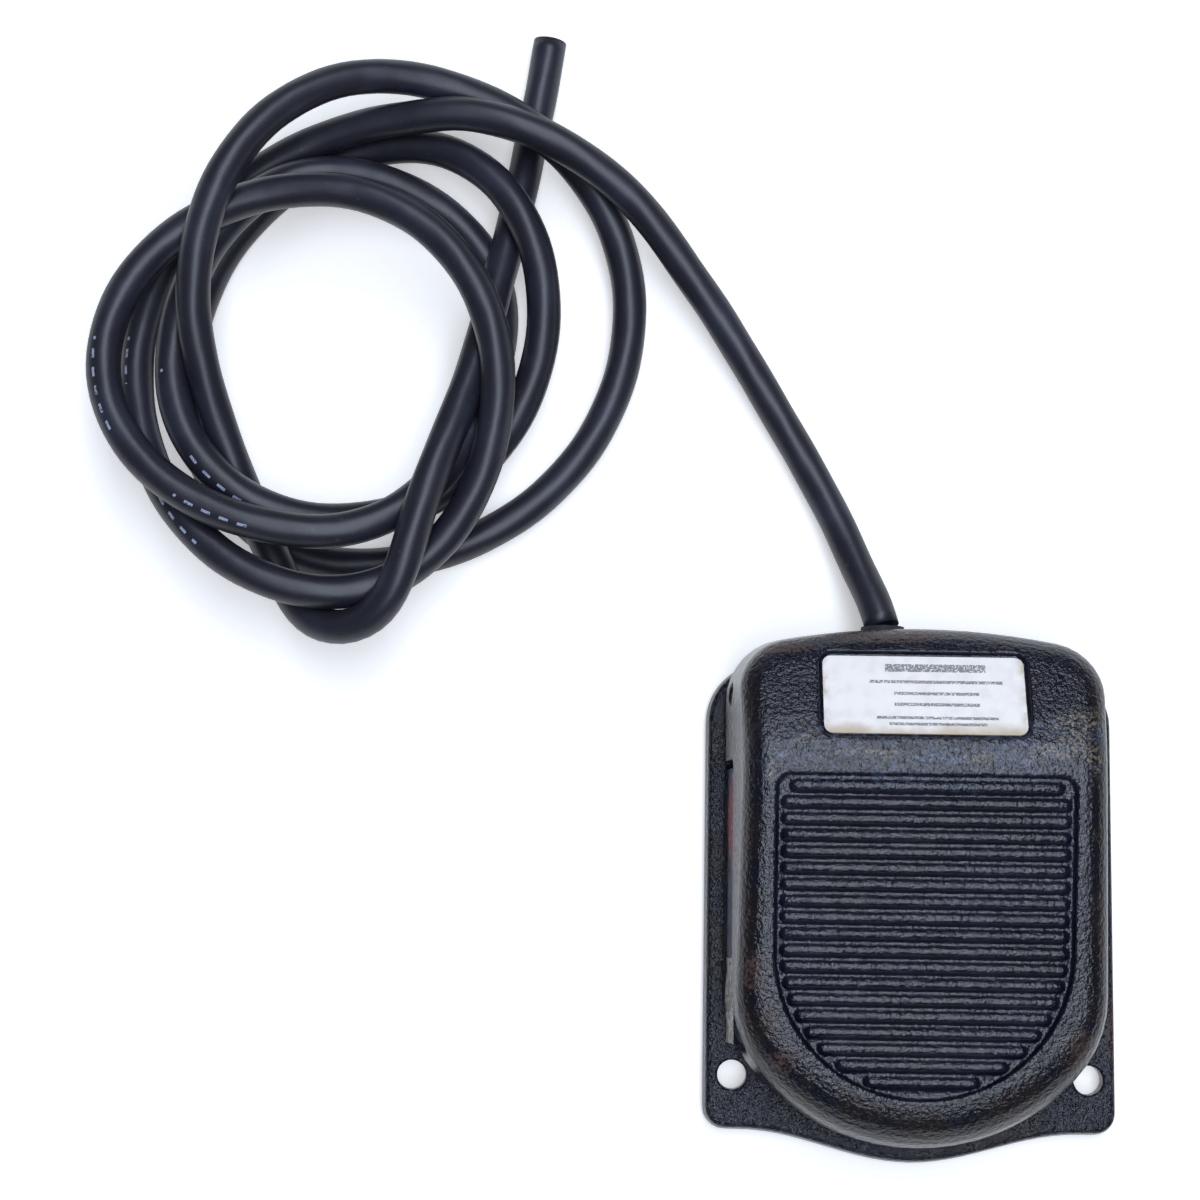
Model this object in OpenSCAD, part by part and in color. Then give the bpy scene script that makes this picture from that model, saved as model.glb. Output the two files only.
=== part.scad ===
// Industrial foot switch: cast treadle on a cast base, snap-action switch inside, round coiled cord.
// Frame: +Z up, +Y towards the cord (rear), the toe of the treadle points along -Y.
// The origin lies under the middle of the base, on the surface that the feet stand on.

/* [Base] */
// Width of the base flange
base_w = 94.2; // [90:0.25:105]
// Length of the base flange, toe bump to rear arch
base_len = 121.4; // [112:0.2:130]
// Thickness of the base flange
flange_t = 5; // [4:0.25:7]
// How far the edge of the flange leans in
flange_draft = 0.9; // [0:0.1:1.5]
// How far the toe bump stands out in front of the corners
bump_h = 6.9; // [5:0.1:9]
// Radius of the front corners
front_corner_r = 5; // [3:0.5:8]
// Radius of the rear corners
rear_corner_r = 14; // [10:0.5:18]
// Thickness of the walls that stand on the flange
base_wall = 3.4; // [2.6:0.1:4.5]
// Depth of the pocket that the switch stands in
pocket_d = 2; // [1:0.25:2.5]

/* [Mounting] */
// Distance between the two mounting holes
hole_spacing = 81; // [79.5:0.25:82]
// Diameter of the mounting holes
hole_d = 6.6; // [5:0.1:7]
// Distance of the mounting holes behind the tip of the toe bump
hole_back = 19.3; // [17.3:0.25:20.3]

/* [Feet] */
// Diameter of the rubber feet
foot_d = 12; // [9:0.25:13]
// How far the feet stand out of the base
foot_out = 1.5; // [1:0.1:2.5]
// How deep the feet sit in the base
foot_in = 1.4; // [1:0.1:2]

/* [Treadle] */
// Width of the treadle at the bottom of its skirt
treadle_w = 85.6; // [84.6:0.1:86.4]
// Thickness of the skirt
skirt_t = 3.2; // [2.6:0.1:3.6]
// Thickness of the top, panel recess included
top_t = 5.2; // [4.6:0.1:6]
// Draft angle of the skirt
skirt_draft = 7; // [4:0.5:8]
// Height of the crest above the flange
crest_h = 33; // [32:0.25:36]
// Distance of the crest in front of the rear end
crest_ahead = 30.3; // [29.3:0.25:31.3]
// Slope of the tread, falling to the toe
front_slope = 9.5; // [8:0.25:10]
// Slope of the rear face, falling to the cord
rear_slope = 21.5; // [18:0.5:24]
// Radius of the shoulder along the sides
side_shoulder = 5.5; // [4:0.25:6.5]
// Radius of the shoulder round the toe
toe_shoulder = 9; // [6:0.25:10]
// Radius of the round toe
toe_r = 48; // [47:0.25:48.5]

/* [Tread panel] */
// Half the width of the tread panel
panel_half_w = 32.6; // [30:0.1:33.5]
// Depth of the tread panel
panel_d = 1.5; // [1:0.1:2]
// Pitch of the ribs
rib_pitch = 3.6; // [3.2:0.05:4.2]
// Width of one rib
rib_w = 2.7; // [2:0.05:3]
// Height of one rib
rib_h = 1.1; // [0.7:0.05:1.4]

/* [Name plate] */
// Width of the blank name plate
plate_w = 44.5; // [36:0.25:48]
// Height of the blank name plate
plate_h = 19; // [15:0.25:19.5]
// Thickness of the name plate
plate_t = 0.4; // [0.3:0.05:0.6]

/* [Hinge] */
// Diameter of the hinge pins
pin_d = 5; // [4:0.1:5.5]
// Height of the hinge axis above the flange
hinge_h = 11; // [10.5:0.1:11.5]
// Distance of the hinge axis in front of the rear end
hinge_ahead = 16.3; // [15.8:0.1:16.8]
// Travel of the treadle in degrees
travel = 3.2; // [2.4:0.1:3.4]
// Thickness of the hinge lugs on the base
lug_t = 5; // [4:0.25:6]

/* [Return springs] */
// Outer diameter of the two return springs
spring_d = 12; // [10:0.25:14]
// Wire of the return springs
spring_wire = 1.4; // [1:0.1:1.6]
// Turns of the return springs
spring_turns = 6; // [5:0.5:7]
// Distance between the two springs
spring_spacing = 44; // [40:0.5:48]
// Distance of the springs behind the tip of the toe bump
spring_back = 36.3; // [34:0.25:40]

/* [Snap switch] */
// Length of the snap switch
sw_len = 27.8; // [27:0.1:28.5]
// Height of the snap switch
sw_h = 15.9; // [15:0.1:16.2]
// Width of the snap switch
sw_w = 10.3; // [9.6:0.1:11]
// Distance between the switch's screws along its length
sw_hole_len = 22.2; // [21.5:0.1:22.6]
// Distance between the switch's screws across its height
sw_hole_h = 10.3; // [9.6:0.1:10.4]
// Diameter of the switch's screws
sw_screw_d = 3; // [2.5:0.1:3.2]

/* [Cord] */
// Diameter of the round three-core cord
cord_d = 8; // [7:0.1:8.2]
// Height of the cord entry above the flange
entry_h = 7.5; // [7.3:0.1:8]
// Diameter of one insulated core
core_d = 2.1; // [1.8:0.1:2.4]

/* [Hidden] */
$fn = 48;

// Clearances
seat_gap = 0.3;
run_gap = 0.06;
press_gap = 0.02;
loose_gap = 0.35;

// Levels
base_z = foot_out;
flange_z = base_z + flange_t;
pocket_z = flange_z - pocket_d;
crest_z = flange_z + crest_h;
hinge_z = flange_z + hinge_h;

// ---- Places along Y, from the two ends of the base ----
half_w = base_w / 2;
half_len = base_len / 2;
hole_y = hole_back - half_len;
spring_y = spring_back - half_len;
crest_y = half_len - crest_ahead;
hinge_y = half_len - hinge_ahead;

// ---- Outlines: each takes an inset, so that walls and drafts stay parallel to the rim ----
// Radius of the flange's rear arch
flange_arch_r = 91.5;
// Half the width over which the toe bump runs out
bump_half_w = 38.5;

function arc(cx, cy, r, a0, a1, n, first = 0) =
    [for (i = [first:n]) let (a = a0 + (a1 - a0) * i / n) [cx + r * cos(a), cy + r * sin(a)]];

// How far the toe bump stands out at distance x from the middle; it falls all the way to front_x
function bump_rise(x, front_x) = bump_h
    * (0.48 * (1 + cos(180 * min(1, x / bump_half_w))) + 0.04 * (1 - x / front_x));

// Right half of the flange, from the middle of the toe to the middle of the rear
function flange_half(d) = let (
    corner_y = -half_len + bump_h,
    front_x = half_w - front_corner_r,
    arch_y = half_len - flange_arch_r,
    rear_x = half_w - rear_corner_r,
    reach = flange_arch_r - rear_corner_r,
    rear_y = arch_y + sqrt(reach * reach - rear_x * rear_x),
    lean = atan2(rear_y - arch_y, rear_x),
    bump = [for (i = [0:14]) let (x = front_x * i / 14) [x, corner_y - bump_rise(x, front_x) + d]])
    concat(
        bump,
        arc(front_x, corner_y + front_corner_r, front_corner_r - d, -90, 0, 5, 1),
        [for (i = [1:4]) [half_w - d, corner_y + front_corner_r
            + (rear_y - corner_y - front_corner_r) * i / 5]],
        arc(rear_x, rear_y, rear_corner_r - d, 0, lean, 7),
        arc(0, arch_y, flange_arch_r - d, lean, 90, 6, 1));

// Treadle plan: toe arc, blend, straight side, rear corner, rear arch
treadle_half = treadle_w / 2;
toe_cy = toe_r - half_len + 4;
blend_r = 28;
blend_cx = treadle_half - blend_r;
blend_drop = sqrt(pow(toe_r - blend_r, 2) - blend_cx * blend_cx);
blend_cy = -half_len + toe_r + 4 - blend_drop;
toe_y = -half_len + 4;
corner_r = 14.5;
arch_r = 165;
arch_cy = half_len - arch_r;
corner_cx = treadle_half - corner_r;
corner_cy = arch_cy + sqrt(pow(arch_r - corner_r, 2) - corner_cx * corner_cx);
corner_lean = atan2(corner_cy - arch_cy, corner_cx);
blend_lean = atan2(-blend_drop, blend_cx);
side_rows = 12;

// Right half of the treadle, toe to rear; the inset of each point may depend on its row
function treadle_half_pts(d) = concat(
    arc(0, toe_cy, toe_r - d, -90, blend_lean, 9),
    arc(blend_cx, blend_cy, blend_r - d, blend_lean, 0, 5, 1),
    [for (i = [1:side_rows - 1]) [treadle_half - d,
        blend_cy + (corner_cy - blend_cy) * i / side_rows]],
    arc(corner_cx, corner_cy, corner_r - d, 0, corner_lean, 7),
    arc(0, arch_cy, arch_r - d, corner_lean, 90, 6, 1));

// Height of the treadle's top along Y: two slopes that meet in a rounded crest
crest_soft = 5;
slope_f = tan(front_slope);
slope_r = tan(rear_slope);
slope_sum = (slope_r + slope_f) / 2;
slope_dif = (slope_r - slope_f) / 2;
function top_z(y) = let (u = y - crest_y)
    crest_z - slope_sum * (sqrt(u * u + crest_soft * crest_soft) - crest_soft) - slope_dif * u;
// Where the two slopes would meet without the rounding
ridge_z = crest_z + slope_sum * crest_soft;

function blend01(t) = let (c = min(1, max(0, t))) c * c * (3 - 2 * c);
// Shoulder radius: the side value, growing towards the toe
shoulder_from = 40.3 - half_len;
shoulder_run = 32;
function shoulder(y) = side_shoulder
    + (toe_shoulder - side_shoulder) * blend01((shoulder_from - y) / shoulder_run);

// ---- Lofts ----
function mirror_ring(h) = concat(h, [for (i = [len(h) - 2:-1:1]) [-h[i][0], h[i][1], h[i][2]]]);

// Skins a stack of rings, and closes both ends with strips from side to side
module loft(halves) {
    rings = [for (h = halves) mirror_ring(h)];
    n = len(rings[0]);
    m = len(halves[0]);
    top = (len(rings) - 1) * n;
    walls = [for (k = [0:len(rings) - 2], j = [0:n - 1])
        let (a = k * n + j, b = k * n + (j + 1) % n)
        each [[a, a + n, b + n], [a, b + n, b]]];
    ends = concat(
        [[0, 1, n - 1], [m - 2, m - 1, m]],
        [for (i = [1:m - 3]) [i, i + 1, n - i - 1, n - i]]);
    upper = [for (f = ends) [for (i = [len(f) - 1:-1:0]) f[i] + top]];
    polyhedron(points = [for (r = rings) each r], faces = concat(walls, ends, upper),
        convexity = 6);
}

function at_level(half, z) = [for (p = half) [p[0], p[1], z]];
// A flat-ended band between two insets of the treadle's plan
module treadle_band(d0, z0, d1, z1) {
    loft([at_level(treadle_half_pts(d0), z0), at_level(treadle_half_pts(d1), z1)]);
}

// ---- Base ----
module flange_plate() {
    land = flange_t * 0.3;
    loft([
        at_level(flange_half(0), base_z),
        at_level(flange_half(0), base_z + land),
        at_level(flange_half(flange_draft * 0.75), flange_z - 0.5),
        at_level(flange_half(flange_draft + 0.5), flange_z)]);
}

// Walls: the side shoulders show under the treadle's relief, the ring behind them runs all round
relief_front = 25.3 - half_len;
relief_rear = half_len - 31.3;
relief_h = 16;
relief_z = flange_z + relief_h;
toe_gap_h = 6.6;
skirt_z = flange_z + 5;
shoulder_in = 0.5;
ring_in = skirt_t + 1.5;
ring_z = flange_z + 7.4;
screen_in = ring_in + 2.8;
screen_t = 2.6;
screen_z = relief_z + 3;
// Height lost at distance a from the hinge when the treadle is down
function drop(a) = a * sin(travel);

module side_shoulders() {
    difference() {
        intersection() {
            treadle_band(shoulder_in, flange_z - 1, shoulder_in + 2.6, relief_z);
            for (s = [0, 1]) mirror([s, 0, 0])
                translate([blend_cx, relief_front + 1.2, flange_z - 1])
                    cube([half_w, relief_rear - relief_front - 2.4, relief_h + 2]);
        }
        treadle_band(ring_in + 1, flange_z - 2, ring_in + 1, relief_z + 1);
        // The top follows the rim of the relief in its lowest position
        translate([-half_w, hinge_y, relief_z - 1.1]) rotate([travel, 0, 0])
            translate([0, -base_len, 0]) cube([base_w, base_len, relief_h]);
    }
}

module wall_ring() {
    difference() {
        treadle_band(ring_in, flange_z - 1, ring_in + 0.7, ring_z);
        treadle_band(ring_in + base_wall, flange_z - 2, ring_in + base_wall, ring_z + 1);
        // Open between the hinge lugs, where the rear wall stands
        translate([-rear_wall_half, hinge_y, flange_z])
            cube([2 * rear_wall_half, hinge_ahead, flange_t + relief_h]);
        // Clear of the treadle's hinge bosses
        translate([-half_w, hinge_y, hinge_z]) rotate([0, 90, 0])
            cylinder(r = boss_r + 1, h = base_w);
    }
}

// Screens: stand inside the treadle behind the relief, and close the view into the switch
module side_screens() {
    difference() {
        intersection() {
            treadle_band(ring_in, flange_z - 1, screen_in, screen_z);
            for (s = [0, 1]) mirror([s, 0, 0])
                translate([blend_cx, relief_front + 1.2, flange_z - 1])
                    cube([half_w, relief_rear - relief_front - 2.4, screen_z]);
        }
        treadle_band(screen_in + screen_t, flange_z - 2, screen_in + screen_t, screen_z + 1);
        // The top keeps clear of the treadle's ceiling in its lowest position
        translate([-half_w, relief_front, flange_z + 10.2]) rotate([front_slope + travel, 0, 0])
            translate([0, -10, 0]) cube([base_w, base_len, relief_h + 10]);
    }
}

// Rear wall: holds the cord bushing, and its sloped top is the treadle's upper stop
rear_wall_half = 25;
rear_wall_y = half_len - 10.9;
rear_wall_t = base_wall;
cord_x = -7;
cord_z = flange_z + entry_h;
bush_r = cord_d / 2 + 2.4;
module rear_wall() {
    y1 = rear_wall_y + rear_wall_t;
    stop_y = rear_wall_y + 0.6;
    difference() {
        translate([-rear_wall_half, 0, 0]) rotate([90, 0, 90])
            linear_extrude(2 * rear_wall_half) polygon([
                [rear_wall_y, flange_z - 1], [y1, flange_z - 1],
                [y1, top_z(y1) - top_t - seat_gap - 4],
                [stop_y, top_z(stop_y) - top_t - seat_gap],
                [rear_wall_y, top_z(rear_wall_y) - top_t - seat_gap]]);
        translate([cord_x, rear_wall_y - 1, cord_z]) rotate([-90, 0, 0])
            cylinder(r = bush_r + press_gap, h = rear_wall_t + 2);
    }
}

lug_x = 28.2;
boss_x = lug_x + lug_t + 0.6;
lug_r = pin_d / 2 + 3.2;
boss_r = pin_d / 2 + 3;
module hinge_lugs() {
    for (s = [-1, 1]) translate([s * (lug_x + lug_t / 2), hinge_y, hinge_z])
        difference() {
            union() {
                rotate([0, 90, 0]) cylinder(r = lug_r, h = lug_t, center = true);
                translate([-lug_t / 2, -lug_r, -hinge_h - 1]) cube([lug_t, 2 * lug_r, hinge_h + 1]);
            }
            rotate([0, 90, 0]) cylinder(r = pin_d / 2 + run_gap, h = lug_t + 2, center = true);
        }
}

// Switch place: the case stands in the pocket, against an upright rib
switch_ahead = 28.2;
sw_y1 = hinge_y - switch_ahead;
sw_y0 = sw_y1 - sw_len;
sw_z1 = pocket_z + sw_h;
rib_t = 4.2;
sw_holes = [for (s = [-1, 1])
    [(sw_y0 + sw_y1) / 2 + s * sw_hole_len / 2, pocket_z + sw_h / 2 - s * sw_hole_h / 2]];
case_x0 = -sw_w / 2;
cover_t = 1.5;
case_x1 = sw_w / 2 - cover_t;
case_wall = 1.6;
case_floor = 2.3;
case_roof = 1.8;
pillar_r = sw_screw_d / 2 + 1;
lever_y = sw_y1 - 2.8;
lever_z = sw_z1 + 1.4;
lever_arm = 8.5;
plunger_y = lever_y - lever_arm;
lever_lean = 9;
lever_len = 24;
lever_w = 5;
lever_t = 0.4;
lever_pin_r = 0.5;
lever_eye_r = 1;
lever_drop = lever_eye_r - 0.1;
ear_t = 0.9;
plunger_r = 1.5;
plunger_tip_r = 1;
plunger_top = lever_z + (lever_arm - plunger_tip_r) * tan(lever_lean)
    - lever_drop / cos(lever_lean) - 0.05;
blade_z = pocket_z + 10;
blade_y = plunger_y + 7;
blade_w = 3.6;
blade_t = 0.3;
contact_t = 0.7;
contact_d = 2.4;
plunger_foot = blade_z + blade_t + 0.2;
terminal_t = 0.8;
tab_w = 4.8;
tab_len = 7;
strip_w = 3.6;
open_z = pocket_z + 6.1;
blade_roll_r = 0.35;
common_z = blade_z - blade_roll_r - seat_gap - terminal_t / 2;
closed_z = pocket_z + 13.6;
contact_y = sw_y0 + 8;
fixed_contact_t = 0.6;
chamber_end = blade_y + 0.8;
// Top of the fixed contact that the blade meets when it is pressed
open_face_z = blade_z - contact_t - 3.2;

module switch_rib() {
    difference() {
        translate([-sw_w / 2 - rib_t, sw_y0 + 1, pocket_z - 0.5])
            cube([rib_t, sw_len - 2, sw_h - 0.5]);
        for (h = sw_holes) translate([-sw_w / 2 - rib_t - 1, h[0], h[1]]) rotate([0, 90, 0])
            cylinder(d = sw_screw_d + 2 * press_gap, h = rib_t + 2);
    }
}

spring_seat_h = 4;
bumper_y = 20.3 - half_len;
bumper_r = 6;
bumper_seat_h = 2;
bumper_h = 3.4;
clamp_y = rear_wall_y - 12.9;
clamp_w = 6;
clamp_reach = 9;
ground_x = 15;
ground_y = hinge_y - 11;
ground_boss_r = 4.5;
ground_boss_h = 2.5;
clamp_screw_d = 3;
ground_screw_d = 3.5;
bumper_stem_d = 4;
module floor_bosses() {
    // Spigots inside the return springs
    for (s = [-1, 1]) translate([s * spring_spacing / 2, spring_y, flange_z - 1])
        cylinder(d = spring_d - 2 * spring_wire - 2 * seat_gap, h = spring_seat_h + 1);
    // Seat of the toe bumper
    difference() {
        translate([0, bumper_y, flange_z - 1]) cylinder(r = bumper_r + 0.8, h = bumper_seat_h + 1);
        translate([0, bumper_y, flange_z - 2])
            cylinder(d = bumper_stem_d + 2 * press_gap, h = bumper_seat_h + 3);
    }
    // Cradle under the cord clamp
    difference() {
        translate([cord_x - clamp_reach - 4, clamp_y - clamp_w / 2, flange_z - 1])
            cube([2 * clamp_reach + 8, clamp_w, entry_h + 1]);
        translate([cord_x, clamp_y, cord_z]) rotate([90, 0, 0])
            cylinder(d = cord_d + 2 * press_gap, h = clamp_w + 2, center = true);
        for (s = [-1, 1]) translate([cord_x + s * clamp_reach, clamp_y, flange_z + 1])
            cylinder(d = clamp_screw_d + 2 * press_gap, h = entry_h + 2);
    }
    // Ground boss
    translate([ground_x, ground_y, flange_z - 1]) cylinder(r = ground_boss_r, h = ground_boss_h + 1);
}

foot_ahead = 20.3;
foot_back = 22.3;
foot_aside = 16;
foot_places = [for (s = [-1, 1], y = [foot_back - half_len, half_len - foot_ahead])
    [s * (half_w - foot_aside), y]];
module base() {
    color("#17171c") difference() {
        union() {
            flange_plate();
            side_shoulders();
            side_screens();
            wall_ring();
            rear_wall();
            hinge_lugs();
            floor_bosses();
        }
        // Pocket for the switch
        translate([-sw_w / 2 - rib_t - 1, sw_y0 - 1, pocket_z])
            cube([sw_w + rib_t + 12, sw_len + 2, flange_t + relief_h]);
        for (s = [-1, 1]) translate([s * hole_spacing / 2, hole_y, base_z - 1])
            cylinder(d = hole_d, h = flange_t + 2);
        for (p = foot_places) translate([p[0], p[1], base_z - 1])
            cylinder(d = foot_d + 2 * press_gap, h = foot_in + 1);
        translate([ground_x, ground_y, base_z + 2])
            cylinder(d = ground_screw_d + 2 * press_gap, h = flange_t + ground_boss_h);
    }
    color("#17171c") switch_rib();
}

module rubber_feet() {
    color("#101012") for (p = foot_places) translate([p[0], p[1], 0]) rotate_extrude() polygon([
        [0, 0], [foot_d / 2 - 1, 0], [foot_d / 2, foot_out * 0.8], [foot_d / 2, foot_out + foot_in],
        [0, foot_out + foot_in]]);
}

// ---- Treadle ----
wall_steps = 6;
// Outer skin: drafted skirt, then a rounded shoulder up to the sloping top
function treadle_ring(k) = let (
    rim = treadle_half_pts(0),
    phi = 90 * max(0, k - 1) / wall_steps)
    [for (i = [0:len(rim) - 1]) let (
        y = rim[i][1],
        r = shoulder(y),
        foot = (k == 0),
        wall_top = top_z(y) - r,
        z = foot ? skirt_z : top_z(y) - r * (1 - sin(phi)),
        lean = ((foot ? skirt_z : wall_top) - skirt_z) * tan(skirt_draft),
        d = lean + (foot ? 0 : r * (1 - cos(phi))),
        p = treadle_half_pts(d)[i])
        [p[0], p[1], foot ? skirt_z : z + (top_z(p[1]) - top_z(y))]];

function cavity_ring(k) = let (rim = treadle_half_pts(0))
    [for (i = [0:len(rim) - 1]) let (
        y = rim[i][1],
        wall_top = top_z(y) - top_t - 3,
        d0 = skirt_t - tan(skirt_draft) * 1,
        lean = (wall_top - skirt_z) * tan(skirt_draft),
        d = (k == 0) ? d0 : (k == 1) ? skirt_t + lean : skirt_t + lean + 3,
        p = treadle_half_pts(d)[i])
        [p[0], p[1], (k == 0) ? skirt_z - 1 : (k == 1) ? top_z(p[1]) - top_t - 3
            : top_z(p[1]) - top_t]];

// Planes of the two slopes, with their own Y along the slope from the ridge
module on_front() {
    translate([0, crest_y, ridge_z]) rotate([front_slope, 0, 0]) children();
}
module on_rear() {
    translate([0, crest_y, ridge_z]) rotate([-rear_slope, 0, 0]) children();
}

// Tread panel: straight sides and a half-round front, with a rounded pair of rear corners
panel_rear = crest_y - 5.1;
panel_arc_y = 15.2 - half_len + panel_half_w;
function along_front(y) = (y - crest_y) / cos(front_slope);
module panel_plan(inset) {
    r = panel_half_w - inset;
    rear = along_front(panel_rear) - inset;
    front = along_front(panel_arc_y);
    soft = 3.2 - inset / 2;
    translate([0, front]) circle(r = r, $fn = 96);
    translate([-r, front]) square([2 * r, rear - front - soft]);
    translate([-r + soft, front]) square([2 * (r - soft), rear - front]);
    for (s = [-1, 1]) translate([s * (r - soft), rear - soft]) circle(r = soft);
}

rib_first = along_front(panel_rear) - rib_pitch / 2 - 0.9;
rib_last = along_front(panel_arc_y - panel_half_w) + 2.4;
rib_count = floor((rib_first - rib_last) / rib_pitch) + 1;
// One rib is a round bar, sunk into the floor of the panel
rib_bar_r = (rib_w * rib_w / 4 + rib_h * rib_h) / (2 * rib_h);
rib_step = 0.02;
module tread_ribs() {
    reach = panel_half_w - 1.2;
    front = along_front(panel_arc_y);
    on_front() for (i = [0:rib_count - 1]) let (
        y = rib_first - i * rib_pitch,
        side = (y > front) ? reach : sqrt(max(16, reach * reach - pow(y - front, 2))),
        half = min(side, (i == 0) ? reach - 1.8 : reach) - rib_w / 2)
        translate([0, y, -panel_d - rib_bar_r + rib_h]) {
            rotate([0, 90, 0])
                cylinder(r = rib_bar_r - rib_step, h = 2 * half, center = true, $fn = 24);
            for (s = [-1, 1]) translate([s * half, 0, 0]) sphere(r = rib_bar_r, $fn = 24);
        }
}

plate_mid = 14.2;
plate_gap = 0.8;
plate_sink = 1.3;
plate_r = 2;
module plate_plan(grow) {
    w = plate_w + 2 * grow;
    h = plate_h + 2 * grow;
    r = plate_r + grow;
    translate([0, plate_mid]) {
        square([w - 2 * r, h], center = true);
        square([w, h - 2 * r], center = true);
        for (s = [-1, 1], t = [-1, 1]) translate([s * (w / 2 - r), t * (h / 2 - r)]) circle(r = r);
    }
}

spring_top_z = flange_z + 17.8;
actuator_ahead = 50;
actuator_y = hinge_y - actuator_ahead;
screw_tip_z = lever_z + (lever_y - actuator_y) * tan(lever_lean)
    - (lever_drop - lever_t) / cos(lever_lean) + seat_gap;
bumper_face_z = flange_z + bumper_seat_h + bumper_h + drop(hinge_y - bumper_y) + seat_gap;
module treadle_bosses() {
    // Bosses hang from the top: spring seats, screw boss and the pad that meets the toe bumper
    for (s = [-1, 1]) translate([s * spring_spacing / 2, spring_y, spring_top_z])
        cylinder(d = spring_d + 2.4, h = top_z(spring_y) - top_t + 1 - spring_top_z);
    translate([0, actuator_y, screw_boss_z])
        cylinder(d = 9, h = top_z(actuator_y) - top_t + 1 - screw_boss_z);
    translate([0, bumper_y, bumper_face_z])
        cylinder(r = bumper_r - 1, h = top_z(bumper_y) - top_t + 1 - bumper_face_z);
    // Bosses round the hinge pins, inside the skirt
    for (s = [-1, 1]) translate([s * boss_x, hinge_y, hinge_z]) rotate([0, s * 90, 0])
        cylinder(r = boss_r, h = treadle_half - boss_x - 2.8);
}

actuator_d = 4;
screw_depth = 3.2;
screw_boss_z = screw_tip_z + 2.6;
skirt_hole_x = treadle_half + 2;
notch_r = bush_r + 0.9;
notch_y = rear_wall_y + 2;
module treadle() {
    color("#1b1b21") difference() {
        union() {
            difference() {
                loft([for (k = [0:wall_steps + 1]) treadle_ring(k)]);
                loft([for (k = [0:2]) cavity_ring(k)]);
                on_front() translate([0, 0, -panel_d]) linear_extrude(panel_d + 4) panel_plan(0);
            }
            treadle_bosses();
            tread_ribs();
        }
        // Relief along the sides, and the lift under the toe
        translate([-half_w, 0, 0]) rotate([90, 0, 90]) linear_extrude(base_w) {
            translate([relief_front, 0]) square([relief_rear - relief_front, relief_z - 3]);
            translate([relief_front + 3, 0]) square([relief_rear - relief_front - 6, relief_z]);
            for (y = [relief_front + 3, relief_rear - 3]) translate([y, relief_z - 3]) circle(r = 3);
            translate([-half_len, 0]) square([half_len + relief_front + 1, flange_z + toe_gap_h]);
        }
        // Seat of the name plate
        on_rear() translate([0, 0, -plate_sink]) linear_extrude(plate_sink + 4)
            plate_plan(plate_gap);
        // Hinge pin holes
        translate([-skirt_hole_x, hinge_y, hinge_z]) rotate([0, 90, 0])
            cylinder(d = pin_d + 2 * press_gap, h = 2 * skirt_hole_x);
        // Screw hole
        translate([0, actuator_y, screw_boss_z - 1])
            cylinder(d = actuator_d + 2 * press_gap, h = screw_depth + 1.4);
        // Notch for the cord bushing
        translate([cord_x, notch_y, cord_z]) rotate([-90, 0, 0])
            cylinder(r = notch_r, h = half_len + 5 - notch_y);
        translate([cord_x - notch_r, notch_y, 0])
            cube([2 * notch_r, half_len + 5 - notch_y, cord_z]);
    }
}

module hinge_pins() {
    inner = lug_x - 0.6;
    outer = treadle_half - 1.6;
    color("silver") for (s = [-1, 1]) translate([s * inner, hinge_y, hinge_z])
        rotate([0, s * 90, 0]) cylinder(d = pin_d, h = outer - inner);
}

module name_plate() {
    color("#e8e8e6") on_rear() translate([0, 0, -plate_sink]) linear_extrude(plate_t) plate_plan(0);
}

module actuator_screw() {
    tip = screw_tip_z;
    color("silver") translate([0, actuator_y, tip]) {
        cylinder(d = actuator_d - 0.8, h = 0.4);
        translate([0, 0, 0.4]) cylinder(d = actuator_d, h = screw_boss_z - tip - 0.4 + screw_depth);
    }
}

module actuator_locknut() {
    color("silver") translate([0, actuator_y, screw_boss_z - 1.9]) difference() {
        cylinder(d = 7.6, h = 1.9, $fn = 6);
        translate([0, 0, -1]) cylinder(d = actuator_d + 2 * press_gap, h = 4);
    }
}

module toe_bumper() {
    color("#202022") translate([0, bumper_y, 0]) rotate_extrude() polygon([
        [0, flange_z], [bumper_stem_d / 2, flange_z],
        [bumper_stem_d / 2, flange_z + bumper_seat_h],
        [bumper_r, flange_z + bumper_seat_h],
        [bumper_r, flange_z + bumper_seat_h + bumper_h - 1],
        [bumper_r - 1.2, flange_z + bumper_seat_h + bumper_h],
        [0, flange_z + bumper_seat_h + bumper_h]]);
}

// ---- Tubes swept along a line of points ----
function unit(v) = v / norm(v);
function heading(p, i) = unit(p[min(i + 1, len(p) - 1)] - p[max(i - 1, 0)]);
function side_of(t) = unit(cross(t, abs(t[2]) > 0.9 ? [1, 0, 0] : [0, 0, 1]));
module tube(p, d, sides = 8) {
    n = len(p);
    pts = [for (i = [0:n - 1]) let (t = heading(p, i), u = side_of(t), v = cross(u, t))
        for (k = [0:sides - 1]) let (a = 360 * (k + 0.5) / sides) p[i] + d / 2 * (u * cos(a) + v * sin(a))];
    polyhedron(points = pts, faces = concat(
        [[for (k = [0:sides - 1]) k]],
        [[for (k = [sides - 1:-1:0]) (n - 1) * sides + k]],
        [for (i = [0:n - 2], k = [0:sides - 1])
            let (a = i * sides + k, b = i * sides + (k + 1) % sides)
            each [[a, a + sides, b + sides], [a, b + sides, b]]]), convexity = 8);
}

// Smooth line through points: three short steps between each pair
function spline_pt(a, b, c, d, t) = 0.5 * (2 * b + (c - a) * t + (2 * a - 5 * b + 4 * c - d) * t * t
    + (3 * b - a - 3 * c + d) * t * t * t);
function smooth(p, steps) = concat([for (i = [0:len(p) - 2], s = [0:steps - 1])
    spline_pt(p[max(i - 1, 0)], p[i], p[i + 1], p[min(i + 2, len(p) - 1)], s / steps)],
    [p[len(p) - 1]]);

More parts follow.
